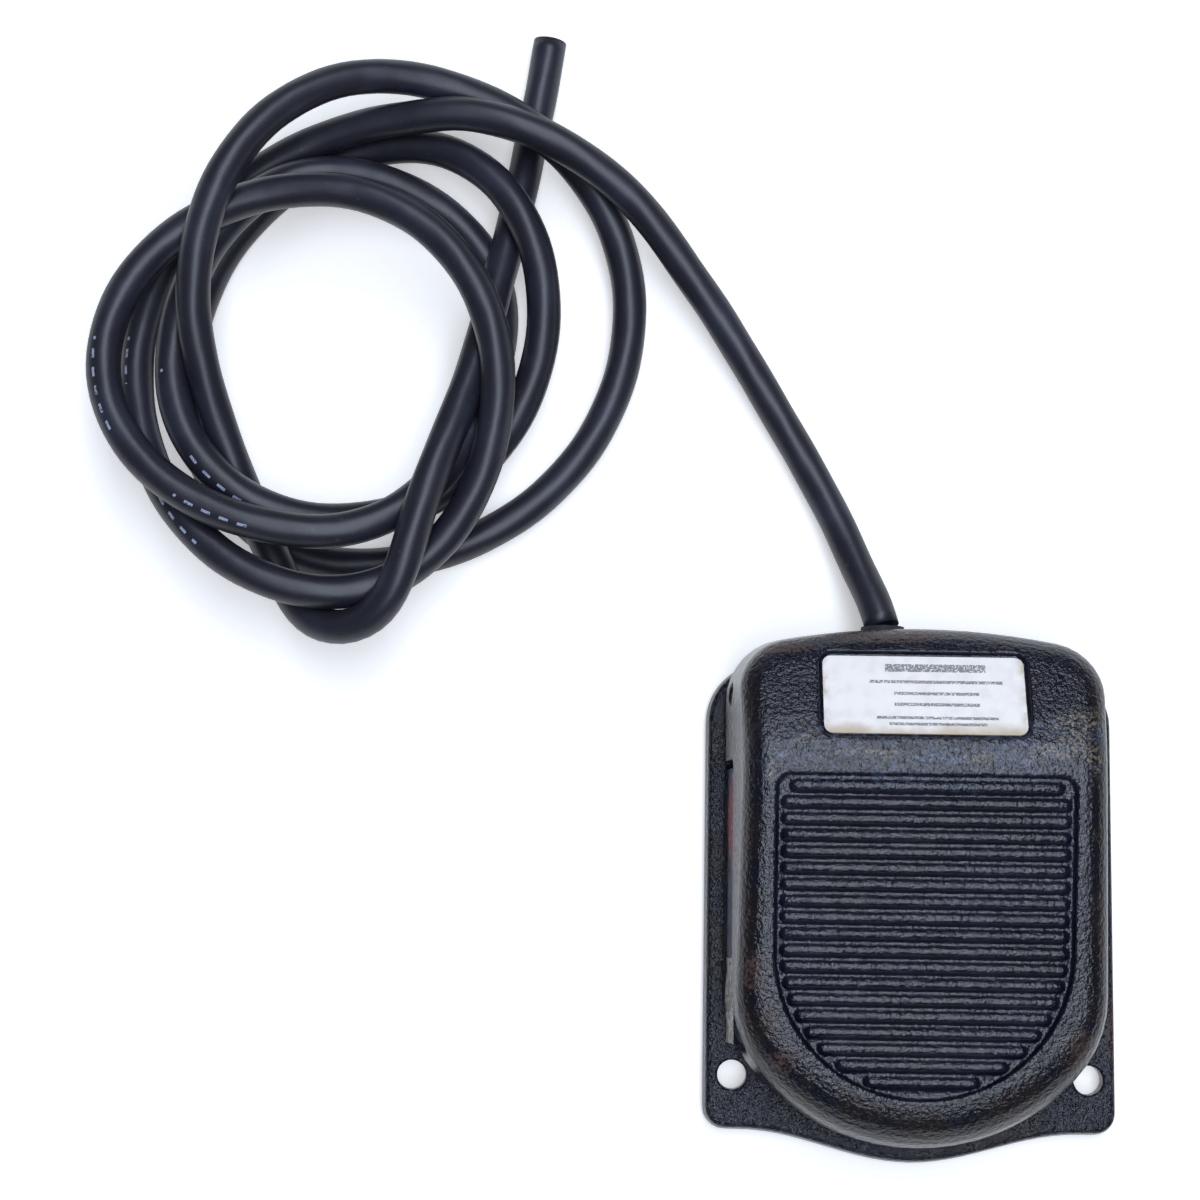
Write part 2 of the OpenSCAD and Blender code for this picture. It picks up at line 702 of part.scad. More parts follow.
// ---- Return springs: ground ends, open coils between ----
module return_springs() {
    h = spring_top_z - seat_gap - flange_z;
    r = (spring_d - spring_wire) / 2;
    n = 16 * spring_turns;
    rise = h - spring_wire;
    color("#8d8f94") for (s = [-1, 1])
        translate([s * spring_spacing / 2, spring_y, flange_z + spring_wire / 2])
        tube([for (i = [0:n]) let (
            t = i / n,
            lift = blend01((t * spring_turns - 1) / (spring_turns - 2)) * 0.35
                + 0.65 * min(1, max(0, (t * spring_turns - 1) / (spring_turns - 2))))
            [r * cos(360 * t * spring_turns), r * sin(360 * t * spring_turns), rise * lift]],
            spring_wire, 8);
}

// ---- Snap switch ----
module screw_row(x, d, h) {
    for (c = sw_holes) translate([x, c[0], c[1]]) rotate([0, 90, 0]) cylinder(d = d, h = h);
}

module switch_case() {
    chamber_y = sw_y0 + case_wall;
    color("#141416") {
        difference() {
            union() {
                difference() {
                    translate([case_x0, sw_y0, pocket_z])
                        cube([case_x1 - case_x0, sw_len, sw_h]);
                    // Chamber for the blade and contacts
                    translate([case_x0 + case_wall, chamber_y, pocket_z + case_floor])
                        cube([sw_w, chamber_end - chamber_y, sw_h - case_floor - case_roof]);
                }
                // Pillars carry the screw holes through the chamber
                screw_row(case_x0 + 1, 2 * pillar_r, case_x1 - case_x0 - 1);
            }
            // Slots that the three terminals pass through
            for (z = [open_z, common_z, closed_z])
                translate([-tab_w / 2 - press_gap, chamber_end - 1, z - terminal_t / 2 - press_gap])
                    cube([tab_w + 2 * press_gap, sw_y1, terminal_t + 2 * press_gap]);
            translate([0, plunger_y, sw_z1 - case_roof - 1])
                cylinder(r = plunger_r + run_gap, h = case_roof + 2);
            screw_row(case_x0 - 1, sw_screw_d + 2 * press_gap, sw_w + 2);
        }
        // Ears hold the lever pin
        for (s = [-1, 1])
            translate([s * (lever_w / 2 + seat_gap + ear_t / 2), lever_y, lever_z]) difference() {
                union() {
                    rotate([0, 90, 0]) cylinder(r = 1.3, h = ear_t, center = true);
                    translate([-ear_t / 2, -1.3, sw_z1 - lever_z - 0.2])
                        cube([ear_t, 2.6, lever_z - sw_z1 + 0.2]);
                }
                rotate([0, 90, 0]) cylinder(r = lever_pin_r + press_gap, h = 2, center = true);
            }
    }
}

module switch_cover() {
    color("#2a2a2e") difference() {
        translate([case_x1, sw_y0, pocket_z]) cube([cover_t, sw_len, sw_h]);
        screw_row(case_x1 - 1, sw_screw_d + 2 * press_gap, cover_t + 2);
    }
}

module switch_screws() {
    color("silver") for (c = sw_holes) translate([sw_w / 2, c[0], c[1]]) rotate([0, 90, 0])
        difference() {
            union() {
                cylinder(d = sw_screw_d * 1.8, h = 2);
                translate([0, 0, -sw_w - rib_t + 0.6]) cylinder(d = sw_screw_d, h = sw_w + rib_t);
            }
            translate([-0.4, -4, 1.1]) cube([0.8, 8, 2]);
        }
}

module switch_plunger() {
    nose = 0.8;
    collar = 1;
    color("#b3202a") translate([0, plunger_y, 0]) {
        translate([0, 0, plunger_foot]) cylinder(r = 0.7, h = nose + 0.1);
        translate([0, 0, plunger_foot + nose]) cylinder(r = plunger_r + 0.7, h = collar);
        translate([0, 0, plunger_foot + nose + collar - 0.1])
            cylinder(r = plunger_r, h = plunger_top - plunger_foot - nose - collar - 0.3);
        translate([0, 0, plunger_top - 0.5]) cylinder(r = plunger_tip_r, h = 0.5);
    }
}

module switch_lever() {
    color("silver") translate([0, lever_y, lever_z]) difference() {
        union() {
            rotate([-lever_lean, 0, 0]) translate([-lever_w / 2, -lever_len, -lever_drop])
                cube([lever_w, lever_len, lever_t]);
            rotate([0, 90, 0]) cylinder(r = lever_eye_r, h = lever_w, center = true);
        }
        rotate([0, 90, 0]) cylinder(r = lever_pin_r + run_gap, h = lever_w + 2, center = true);
    }
}

module lever_pin() {
    color("silver") translate([0, lever_y, lever_z]) rotate([0, 90, 0])
        cylinder(r = lever_pin_r, h = lever_w + 2 * seat_gap + 2 * ear_t, center = true);
}

// Contact blade: a leaf over the common terminal, with a silver contact at its free end
module contact_blade() {
    color("#b8863b") {
        translate([-blade_w / 2, contact_y - 1.6, blade_z])
            cube([blade_w, blade_y - contact_y + 1.6, blade_t]);
        // The rear end is rolled round the line that the blade tilts about
        translate([0, blade_y, blade_z]) rotate([0, 90, 0])
            cylinder(r = blade_roll_r, h = blade_w, center = true);
    }
    color("silver") translate([0, contact_y, blade_z - contact_t])
        cylinder(d = contact_d, h = 2 * contact_t + blade_t);
}

// Terminal: the tab outside the case and the strip inside it
module tab(z, y0) {
    translate([-tab_w / 2, y0, z - terminal_t / 2]) cube([tab_w, sw_y1 + tab_len - y0, terminal_t]);
}
module terminal_common() { color("#c8a951") tab(common_z, blade_y - 1); }
module terminal_open() {
    // The strip steps down in front of the screw pillar, and carries the lower contact
    step_y = chamber_end - 2.2;
    strip_z = open_face_z - fixed_contact_t - terminal_t;
    color("#c8a951") {
        tab(open_z, step_y);
        translate([-strip_w / 2, step_y - terminal_t, strip_z])
            cube([strip_w, terminal_t + 0.1, open_z + terminal_t / 2 - strip_z]);
        translate([-strip_w / 2, contact_y - 1.4, strip_z])
            cube([strip_w, step_y - contact_y + 1.4, terminal_t]);
    }
    color("silver") translate([0, contact_y, strip_z + terminal_t - 0.1])
        cylinder(d = contact_d, h = fixed_contact_t + 0.1);
}
module terminal_closed() {
    // The strip runs over the blade and lets the plunger through
    face_z = blade_z + blade_t + contact_t + seat_gap;
    color("#c8a951") difference() {
        tab(closed_z, contact_y - 1.4);
        translate([0, plunger_y, closed_z - 2]) cylinder(r = plunger_r + loose_gap, h = 4);
    }
    color("silver") translate([0, contact_y, face_z])
        cylinder(d = contact_d, h = closed_z - face_z);
}

connector_len = 9;
connector_h = 2.5;
connector_w = 7.2;
connector_y = sw_y1 + 1.2;
module push_on_connectors() {
    color("#3a5f9e") for (z = [open_z, common_z]) difference() {
        translate([-connector_w / 2, connector_y, z - connector_h / 2])
            cube([connector_w, connector_len, connector_h]);
        translate([-tab_w / 2 - press_gap, connector_y - 1, z - terminal_t / 2 - press_gap])
            cube([tab_w + 2 * press_gap, tab_len, terminal_t + 2 * press_gap]);
        translate([0, connector_y + connector_len - 2, z]) rotate([-90, 0, 0])
            cylinder(d = core_d + 2 * press_gap, h = 4);
    }
}

// ---- Cord entry ----
relief_y0 = rear_wall_y - 9.1;
relief_y1 = rear_wall_y + 10.9;
rim_t = 2.2;
module strain_relief() {
    bore = cord_d / 2 + press_gap;
    color("#0e0e10") translate([cord_x, 0, cord_z]) rotate([-90, 0, 0]) rotate_extrude() polygon([
        [bore, relief_y0], [bore + 1, relief_y0], [bush_r - 0.4, rear_wall_y - rim_t],
        [bush_r + 1, rear_wall_y - rim_t], [bush_r + 1, rear_wall_y],
        [bush_r, rear_wall_y], [bush_r, rear_wall_y + rear_wall_t + 0.4],
        [bush_r - 0.5, rear_wall_y + rear_wall_t + 1.2], [bore + 0.9, relief_y1],
        [bore, relief_y1]]);
}

strap_t = 1.6;
module cord_clamp() {
    color("#9a9ca1") difference() {
        union() {
            translate([cord_x, clamp_y, cord_z]) rotate([90, 0, 0])
                cylinder(r = cord_d / 2 + strap_t, h = clamp_w - 0.6, center = true);
            translate([cord_x - clamp_reach - 3.4, clamp_y - clamp_w / 2 + 0.3, cord_z])
                cube([2 * clamp_reach + 6.8, clamp_w - 0.6, strap_t]);
        }
        translate([cord_x, clamp_y, cord_z]) rotate([90, 0, 0])
            cylinder(d = cord_d + 2 * press_gap, h = clamp_w + 2, center = true);
        translate([cord_x - 20, clamp_y - 10, cord_z - 20]) cube([40, 20, 20]);
        for (s = [-1, 1]) translate([cord_x + s * clamp_reach, clamp_y, cord_z - 1])
            cylinder(d = clamp_screw_d + 0.3, h = strap_t + 2);
    }
}

module clamp_screws() {
    color("silver") for (s = [-1, 1]) translate([cord_x + s * clamp_reach, clamp_y, cord_z + strap_t])
        difference() {
            union() {
                cylinder(d = clamp_screw_d * 1.8, h = 1.8);
                translate([0, 0, -strap_t - entry_h + 2])
                    cylinder(d = clamp_screw_d, h = strap_t + entry_h - 1);
            }
            translate([-0.4, -4, 1]) cube([0.8, 8, 2]);
        }
}

// ---- Leads, along their own few points ----
jacket_end = clamp_y - 3.5;
core_out = connector_y + connector_len - 2;
black_points = [[cord_x - 1.4, jacket_end + 1, cord_z - 1], [cord_x - 1.6, jacket_end - 2, cord_z - 3],
    [-4, jacket_end - 4, common_z + 0.4], [-1, core_out + 3.6, common_z], [0, core_out, common_z]];
white_points = [[cord_x + 1.4, jacket_end + 1, cord_z - 1], [cord_x + 1.8, jacket_end - 2, cord_z - 3.6],
    [-2, jacket_end - 3.6, open_z + 0.6], [-0.6, core_out + 3.8, open_z], [0, core_out, open_z]];
eyelet_z = flange_z + ground_boss_h;
green_points = [[cord_x, jacket_end + 1, cord_z + 1.4], [cord_x + 3.6, ground_y - 1.4, cord_z + 1],
    [4.5, ground_y - 2.5, cord_z - 1.6], [8, ground_y - 1.4, eyelet_z + 1.9],
    [11, ground_y - 0.4, eyelet_z + 1.3]];
module lead_black() { color("#18181a") tube(smooth(black_points, 3), core_d); }
module lead_white() { color("#e6e6e2") tube(smooth(white_points, 3), core_d); }
module lead_green() { color("#2f8f4a") tube(smooth(green_points, 3), core_d); }

eyelet_t = 0.8;
module ground_eyelet() {
    color("#d0b060") translate([ground_x, ground_y, eyelet_z]) difference() {
        union() {
            cylinder(d = 7.4, h = eyelet_t);
            translate([-6, -1.8, 0]) cube([4, 3.6, eyelet_t]);
        }
        translate([0, 0, -1]) cylinder(d = ground_screw_d + 0.3, h = 3);
    }
}

module ground_screw() {
    color("#3f8f52") translate([ground_x, ground_y, eyelet_z + eyelet_t]) difference() {
        union() {
            cylinder(d = ground_screw_d * 1.9, h = 2.2, $fn = 6);
            translate([0, 0, -ground_boss_h - flange_t + 1.8])
                cylinder(d = ground_screw_d, h = ground_boss_h + flange_t - 1);
        }
        translate([-0.4, -5, 1.4]) cube([0.8, 10, 2]);
    }
}

// ---- Cord ----
floor_z = cord_d / 2 + 0.1;
// The route behind the base is given from the base's rear end
lead_route = [[cord_x, 0.2, cord_z], [-8.2, 5.2, 12.8], [-11.2, 12, 9.8], [-15, 21.8, 6],
    [-19.4, 31.5, 4.3], [-27.3, 45.8, floor_z], [-35.7, 60.2, floor_z], [-44.6, 74.9, 4.4],
    [-54.6, 88.8, 6.3], [-62.9, 99.5, 9.3], [-76.5, 110.4, 12.3]];
tail_route = [[-90.2, 120.6, floor_z], [-89.1, 126.8, floor_z],
    [-88, 133, floor_z], [-86.5, 143.5, floor_z]];
function behind(route) = [for (p = route) p + [0, half_len, 0]];
lead_points = concat([[cord_x, jacket_end, cord_z], [cord_x, relief_y0, cord_z],
    [cord_x, rear_wall_y, cord_z]], behind(lead_route));
coil_x = -129.2;
coil_y = half_len + 67.8;
coil_out_r = 68.5;
coil_in_r = 26;
coil_h = 30;
module cord_lead() { color("#1c1c22") tube(lead_points, cord_d); }
module cord_tail() { color("#1c1c22") tube(behind(tail_route), cord_d); }
module cord_coil() {
    color("#1c1c22") translate([coil_x, coil_y, 0]) rotate_extrude($fn = 72) polygon([
        [coil_in_r, 0], [coil_out_r, 0], [coil_out_r, 18], [coil_out_r - 12, coil_h],
        [coil_in_r + 4, coil_h], [coil_in_r, coil_h - 6]]);
}

base();
treadle();
hinge_pins();
return_springs();
toe_bumper();
rubber_feet();
name_plate();
actuator_screw();
actuator_locknut();
switch_case();
switch_cover();
switch_screws();
switch_plunger();
switch_lever();
lever_pin();
contact_blade();
terminal_common();
terminal_open();
terminal_closed();
push_on_connectors();
strain_relief();
cord_clamp();
clamp_screws();
lead_black();
lead_white();
lead_green();
ground_eyelet();
ground_screw();
cord_lead();
cord_coil();
cord_tail();
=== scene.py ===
# %% [markdown]
# # A cast-iron foot switch, given its looks
#
# The construction model already holds every part at its real size and place: two iron castings,
# the hinge, the springs, the snap switch, the cord grip. This lesson gives them their looks. It
# adds the one thing that a construction model can't draw well, a long cord thrown down in loose
# turns, and then works through the finishes: glossy rough enamel on iron, a worn foil plate,
# rubber, brass and steel.

# %% Load the frame
from math import cos, pi, sin

import bmesh
import bpy
from mathutils import Matrix, Vector


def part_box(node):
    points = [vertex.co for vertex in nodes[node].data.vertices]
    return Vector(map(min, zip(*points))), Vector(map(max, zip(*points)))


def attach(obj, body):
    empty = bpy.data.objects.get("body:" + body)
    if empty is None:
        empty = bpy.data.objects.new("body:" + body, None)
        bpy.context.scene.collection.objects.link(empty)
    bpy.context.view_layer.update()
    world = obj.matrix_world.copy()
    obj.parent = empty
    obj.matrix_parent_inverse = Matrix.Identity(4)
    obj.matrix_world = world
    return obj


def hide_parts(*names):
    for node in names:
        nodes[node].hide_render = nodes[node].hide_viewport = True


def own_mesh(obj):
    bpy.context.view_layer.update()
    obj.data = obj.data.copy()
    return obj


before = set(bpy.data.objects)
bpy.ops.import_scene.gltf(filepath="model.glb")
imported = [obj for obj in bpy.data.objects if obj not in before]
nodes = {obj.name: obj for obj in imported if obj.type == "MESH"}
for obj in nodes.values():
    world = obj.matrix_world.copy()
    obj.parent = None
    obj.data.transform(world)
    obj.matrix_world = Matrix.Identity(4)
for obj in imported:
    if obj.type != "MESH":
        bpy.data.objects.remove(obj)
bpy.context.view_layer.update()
MM = 0.001

# %% [markdown]
# ## The camera
#
# The switch lies on the floor and is looked down on, almost plumb. A long lens could do this from
# far away, but a person holds a camera half a metre up, and that nearness is what shows the left
# flank of the base under the treadle. So the eye is put at that height and the lens is a short
# telephoto. The view leans by about eight degrees towards the cord, which a plain aim gives, with
# no lens shift.

# %% The camera
EYE = Vector((-64.1, -5.2, 540.2)) * MM
AIM = Vector((-72.3, 68.1, 0)) * MM
LENS_MM = 69
FILM_MM = 36
ROLL = 0.0159  # radians, so just under one degree


def new_object(name, data):
    """A mesh, lamp or camera, put into the scene."""
    thing = bpy.data.objects.new(name, data)
    bpy.context.scene.collection.objects.link(thing)
    return thing


def aim_camera(eye, aim, roll):
    data = bpy.data.cameras.new("overhead_camera")
    data.lens = LENS_MM
    data.sensor_width = FILM_MM
    camera = new_object("overhead_camera", data)
    forward = (aim - eye).normalized()
    right = forward.cross(Vector((0, 1, 0))).normalized()
    up = right.cross(forward)
    turned_right = cos(roll) * right + sin(roll) * up
    turned_up = cos(roll) * up - sin(roll) * right
    facing = Matrix((turned_right, turned_up, -forward)).transposed()
    camera.matrix_world = Matrix.Translation(eye) @ facing.to_4x4()
    bpy.context.scene.camera = camera


aim_camera(EYE, AIM, ROLL)
print("camera looks down from", round(EYE.z / MM), "mm")

# %% [markdown]
# ## The cord's route
#
# The cord is about 1.7 m of round jacketed lead, 8 mm thick, that has been thrown down in four
# loose turns and then runs up under them to a bare cut end. A physics simulation would settle it
# somewhere else every time, so it is laid from listed places instead: each turn is given by where
# it goes furthest left, nearest, furthest right and furthest back. Between two of those places a
# cord bends evenly, so a quarter of an ellipse joins them. Where it isn't part of a turn it has
# points of its own. RIDES then says how high its middle rides, at even steps of about 15 mm from
# the switch to the cut end. At 4 mm it is on the floor. Where two strands cross, their middles
# keep between 7.5 and 8 mm, so one lies on the other and presses in by half a millimetre at most.
# Where four strands cross at one place the pile is four cords high.

# %% The cord's places
CORD_D = 8.0
LEAVES = (-7, 60.7, 14)

lead_run = [LEAVES[:2], (-8.2, 65.9), (-11.2, 72.7), (-15, 82.4), (-19.4, 92.2), (-27.3, 106.5),
            (-35.8, 120.7), (-44.7, 134.7), (-54.7, 148.2), (-62.9, 158.8), (-69.6, 164.8),
            (-77.3, 170.3), (-85, 174.6), (-96.1, 178.7), (-107.7, 180.8)]
turn_ends = [(-116.1, 180), (-182.2, 122.8), (-133.9, 66), (-95.9, 114.9), (-139, 160.2),
             (-187.2, 119), (-136.2, 79.4), (-96.5, 134.9), (-135.6, 168.2), (-172.5, 119.8),
             (-136.4, 83.3), (-86.1, 134.3), (-121.4, 176), (-171.8, 121.3), (-131, 74.8),
             (-66, 136.2), (-121.7, 189.5), (-166.7, 130)]
down_run = [(-165.4, 121.9), (-163.6, 113.5), (-160.6, 104), (-157.4, 95.5), (-153.5, 86.1),
            (-148.7, 76.2), (-144.1, 67.2), (-138.9, 60.1), (-131.4, 57.8)]
tail_run = [(-123.2, 60.2), (-118, 67.7), (-115.2, 76.8), (-112.6, 86.1), (-109.7, 95.6),
            (-106.2, 105.6), (-102.3, 118.6), (-99.9, 129.1), (-97.5, 141.3), (-95, 153.2),
            (-92.3, 168.3), (-90.3, 180.7), (-88, 193.7), (-86.5, 204.2)]
RIDES = [14, 9, 5.2, 4, 4.6, 6.5, 9.4, 12.7, 16.1, 18.7, 20.1, 19.6, 16.9, 13.6, 10.8, 9.6, 9.6,
         10.9, 12.9, 15.4, 18.1, 20.3, 21.5, 21, 18.9, 18.2, 19.5, 21.9, 24.4, 25.8, 26.3, 26.1,
         25.6, 24.9, 24.4, 24.4, 24.7, 25.3, 26, 26.5, 26.4, 25.7, 24.1, 21.7, 18.4, 14.2, 9.4,
         5.6, 4.5, 6.6, 10.4, 14.1, 16, 17, 18.2, 19.5, 20.7, 21, 19.6, 16.4, 12.9, 10.3, 9.6,
         11.1, 13.6, 15.7, 16.1, 14, 10.6, 7.1, 4.8, 4, 4, 4, 4, 4, 4, 4, 4, 4, 4, 4, 4.2, 4.7,
         5.5, 6.7, 8.2, 9.9, 11.9, 14.2, 17.8, 22.3, 27, 30.7, 32.2, 30.6, 26.5, 20.8, 15.3, 12.1,
         12.1, 15.5, 22.4, 27, 27.5, 25, 20.7, 16.4, 12.1, 8, 5.2, 4.1, 4]
print("cord: highest middle at", max(RIDES), "mm, from", len(RIDES), "heights")

# %% The cord's centreline
QUARTER_STEPS = 14  # points on a quarter of a turn
SPLINE_STEPS = 4  # points between two places of a run
HEIGHT_STEPS = 40  # points between two heights
STEP = 2.5  # mm between the rings of the finished tube
ROUNDS = 6  # passes that even out the joints between turns and runs
LOWEST = CORD_D / 2 + 0.06  # the tube isn't quite round, and mustn't dip into the floor


def quarter_turn(start, end, leaves_along_x):
    """Points on a quarter ellipse from one end of a turn to the next, without the first."""
    points = []
    for i in range(1, QUARTER_STEPS + 1):
        t = i / QUARTER_STEPS
        swing = t * pi / 2
        gone_x = sin(swing) if leaves_along_x else 1 - cos(swing)
        gone_y = 1 - cos(swing) if leaves_along_x else sin(swing)
        points.append(Vector((start[0] + (end[0] - start[0]) * gone_x,
                              start[1] + (end[1] - start[1]) * gone_y, 0)))
    return points


def spline(points, pieces):
    """A smooth line through every point, with that many pieces between neighbours."""
    out = []
    for i in range(len(points) - 1):
        before = points[max(i - 1, 0)]
        a, b = points[i], points[i + 1]
        after = points[min(i + 2, len(points) - 1)]
        for k in range(pieces):
            t = k / pieces
            out.append(0.5 * (2 * a + (b - before) * t
                              + (2 * before - 5 * a + 4 * b - after) * t ** 2
                              + (3 * a - before - 3 * b + after) * t ** 3))
    return out + [points[-1]]


def evenly(points, step):
    """The same line with points a step apart."""
    lengths = [0]
    for a, b in zip(points, points[1:]):
        lengths.append(lengths[-1] + (b - a).length)
    count = round(lengths[-1] / step)
    out, k = [], 0
    for i in range(count + 1):
        want = lengths[-1] * i / count
        while k < len(points) - 2 and lengths[k + 1] < want:
            k += 1
        t = (want - lengths[k]) / max(lengths[k + 1] - lengths[k], 1e-9)
        out.append(points[k].lerp(points[k + 1], t))
    return out


def relax(points, rounds):
    """Each point moves halfway to the middle of its neighbours; the two ends stay."""
    for _ in range(rounds):
        middle = [(a + 2 * p + b) / 4 for a, p, b in zip(points, points[1:], points[2:])]
        points = [points[0]] + middle + [points[-1]]
    return points


def flat(places):
    """Places on the floor as points, without their height."""
    return [Vector((x, y, 0)) for x, y in places]


turns = flat(turn_ends[:1])
for i, (a, b) in enumerate(zip(turn_ends, turn_ends[1:])):
    turns += quarter_turn(a, b, leaves_along_x=i % 2 == 0)
route = (spline(flat(lead_run) + turns[:1], SPLINE_STEPS)[:-1] + turns
         + spline([turns[-1]] + flat(down_run + tail_run), SPLINE_STEPS)[1:])
cord_line = relax(evenly(route, STEP), ROUNDS)
heights = spline([Vector((0, 0, ride)) for ride in RIDES], HEIGHT_STEPS)
for i, p in enumerate(cord_line):
    at = round(i / (len(cord_line) - 1) * (len(heights) - 1))
    p.z = max(heights[at].z, LOWEST)

# %% [markdown]
# ## The cord's jacket
#
# A curve with a round bevel would draw the tube, but the printing on the jacket needs to know how
# far along and how far round it is. So the tube is built ring by ring as a mesh. Each ring is set
# up from the vertical, so that the top of the jacket is at the same place all along, and the two
# numbers are kept as a UV map. The jacket is moulded over twisted cores, so it isn't quite round:
# the rings are let out and in by a few hundredths of a millimetre, in a slow twist.

# %% The cord's jacket
SIDES = 20
TWIST_LENGTH = 60
TWIST_DEPTH = 0.05
CORES = 3


def tube_mesh(name, line, radius, sides):
    """A tube in metres round a line in mm. Its UV map holds metres along, and share of a round."""
    build = bmesh.new()
    uv = build.loops.layers.uv.new("along_round")
    rings, along = [], [0]
    for i, p in enumerate(line):
        ahead, behind = line[min(i + 1, len(line) - 1)], line[max(i - 1, 0)]
        direction = (ahead - behind).normalized()
        side = direction.cross(Vector((0, 0, 1))).normalized()
        top = side.cross(direction)
        if i:
            along.append(along[-1] + (p - line[i - 1]).length)
        ring = []
        for k in range(sides):
            turn = 2 * pi * k / sides
            r = radius(along[-1], turn)
            ring.append(build.verts.new((p + (sin(turn) * side + cos(turn) * top) * r) * MM))
        rings.append(ring)
    for i, (one, two) in enumerate(zip(rings, rings[1:])):
        for k in range(sides):
            face = build.faces.new((one[k], one[(k + 1) % sides], two[(k + 1) % sides], two[k]))
            face.smooth = True
            places = ((i, k), (i, k + 1), (i + 1, k + 1), (i + 1, k))
            for loop, (ring_at, turn_at) in zip(face.loops, places):
                loop[uv].uv = (along[ring_at] * MM, turn_at / sides)
    for ring, outward in ((rings[0], 1), (rings[-1], -1)):
        build.faces.new(ring[::outward])
    bmesh.ops.recalc_face_normals(build, faces=build.faces)
    mesh = bpy.data.meshes.new(name)
    build.to_mesh(mesh)
    build.free()
    return mesh


def jacket_radius(along, turn):
    return CORD_D / 2 + TWIST_DEPTH * sin(CORES * (turn - 2 * pi * along / TWIST_LENGTH))


cord = new_object("cord", tube_mesh("cord", cord_line, jacket_radius, SIDES))
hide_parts("cord_lead", "cord_coil", "cord_tail")
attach(cord, "base")
print("jacket:", len(cord.data.polygons), "faces")

# %% [markdown]
# ## Where the cord is hidden, and where it is cut
#
# Inside the rear wall the jacket runs on through its rubber boot to the clamp, so a short stub of
# the same tube goes there. At the far end the cord was cut off with pliers: the jacket, the paper
# filler and the three cores all end in one face. The cores are drawn as short tubes that stand
# out of it by a few tenths of a millimetre, each with its copper strand in the middle.

# %% The cord's two ends
STUB_FROM = 33.6
STUB_STEPS = 10
CORE_D = 2.5
COPPER_D = 1.15
CORE_SIDES = 16
CORES_APART = 1.5
FIRST_CORE = 0.3
COPPER_OUT = 0.35
CORE_OUT = COPPER_OUT * 0.6
ROOTED = 2.0  # mm that a core goes back into the jacket
ROUNDED = 0.08  # mm over which its end draws in
DRAWN_IN = 0.94

exit_x, exit_y, exit_z = LEAVES
stub_line = [Vector((exit_x, STUB_FROM + (exit_y - STUB_FROM) * i / STUB_STEPS, exit_z))
             for i in range(STUB_STEPS + 1)]
stub = new_object("cord_stub", tube_mesh("cord_stub", stub_line, jacket_radius, SIDES))
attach(stub, "base")

cut = cord_line[-1]
outward = (cord_line[-1] - cord_line[-3]).normalized()
cut_side = outward.cross(Vector((0, 0, 1))).normalized()
cut_up = cut_side.cross(outward)


def cut_tube(name, turn, radius, reach):
    """A short round end that stands out of the cut face by reach mm."""
    middle = cut + (sin(turn) * cut_side + cos(turn) * cut_up) * CORES_APART
    line = [middle + outward * d for d in (-ROOTED, reach - ROUNDED, reach)]

    def taper(along, _):
        return radius if along < ROOTED + reach - ROUNDED / 2 else radius * DRAWN_IN

    piece = new_object(name, tube_mesh(name, line, taper, CORE_SIDES))
    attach(piece, "base")
    return piece


ends = {}
for i, colour in enumerate(("black", "white", "green")):
    turn = FIRST_CORE + i * 2 * pi / CORES
    ends[colour] = cut_tube("cut_core_" + colour, turn, CORE_D / 2, CORE_OUT)
    ends["copper_" + colour] = cut_tube("cut_copper_" + colour, turn, COPPER_D / 2, COPPER_OUT)
print("cut end at", [round(v, 1) for v in cut])

# %% [markdown]
# ## Words for making materials
#
# Every finish here is a Principled shader fed by a few noise clouds. Wiring nodes by hand takes
# many lines that say little, so a small class gives the usual steps short names. Sizes are in
# millimetres, measured on the part itself, so a grain of half a millimetre is the same on every
# piece.

# %% A finish and its nodes


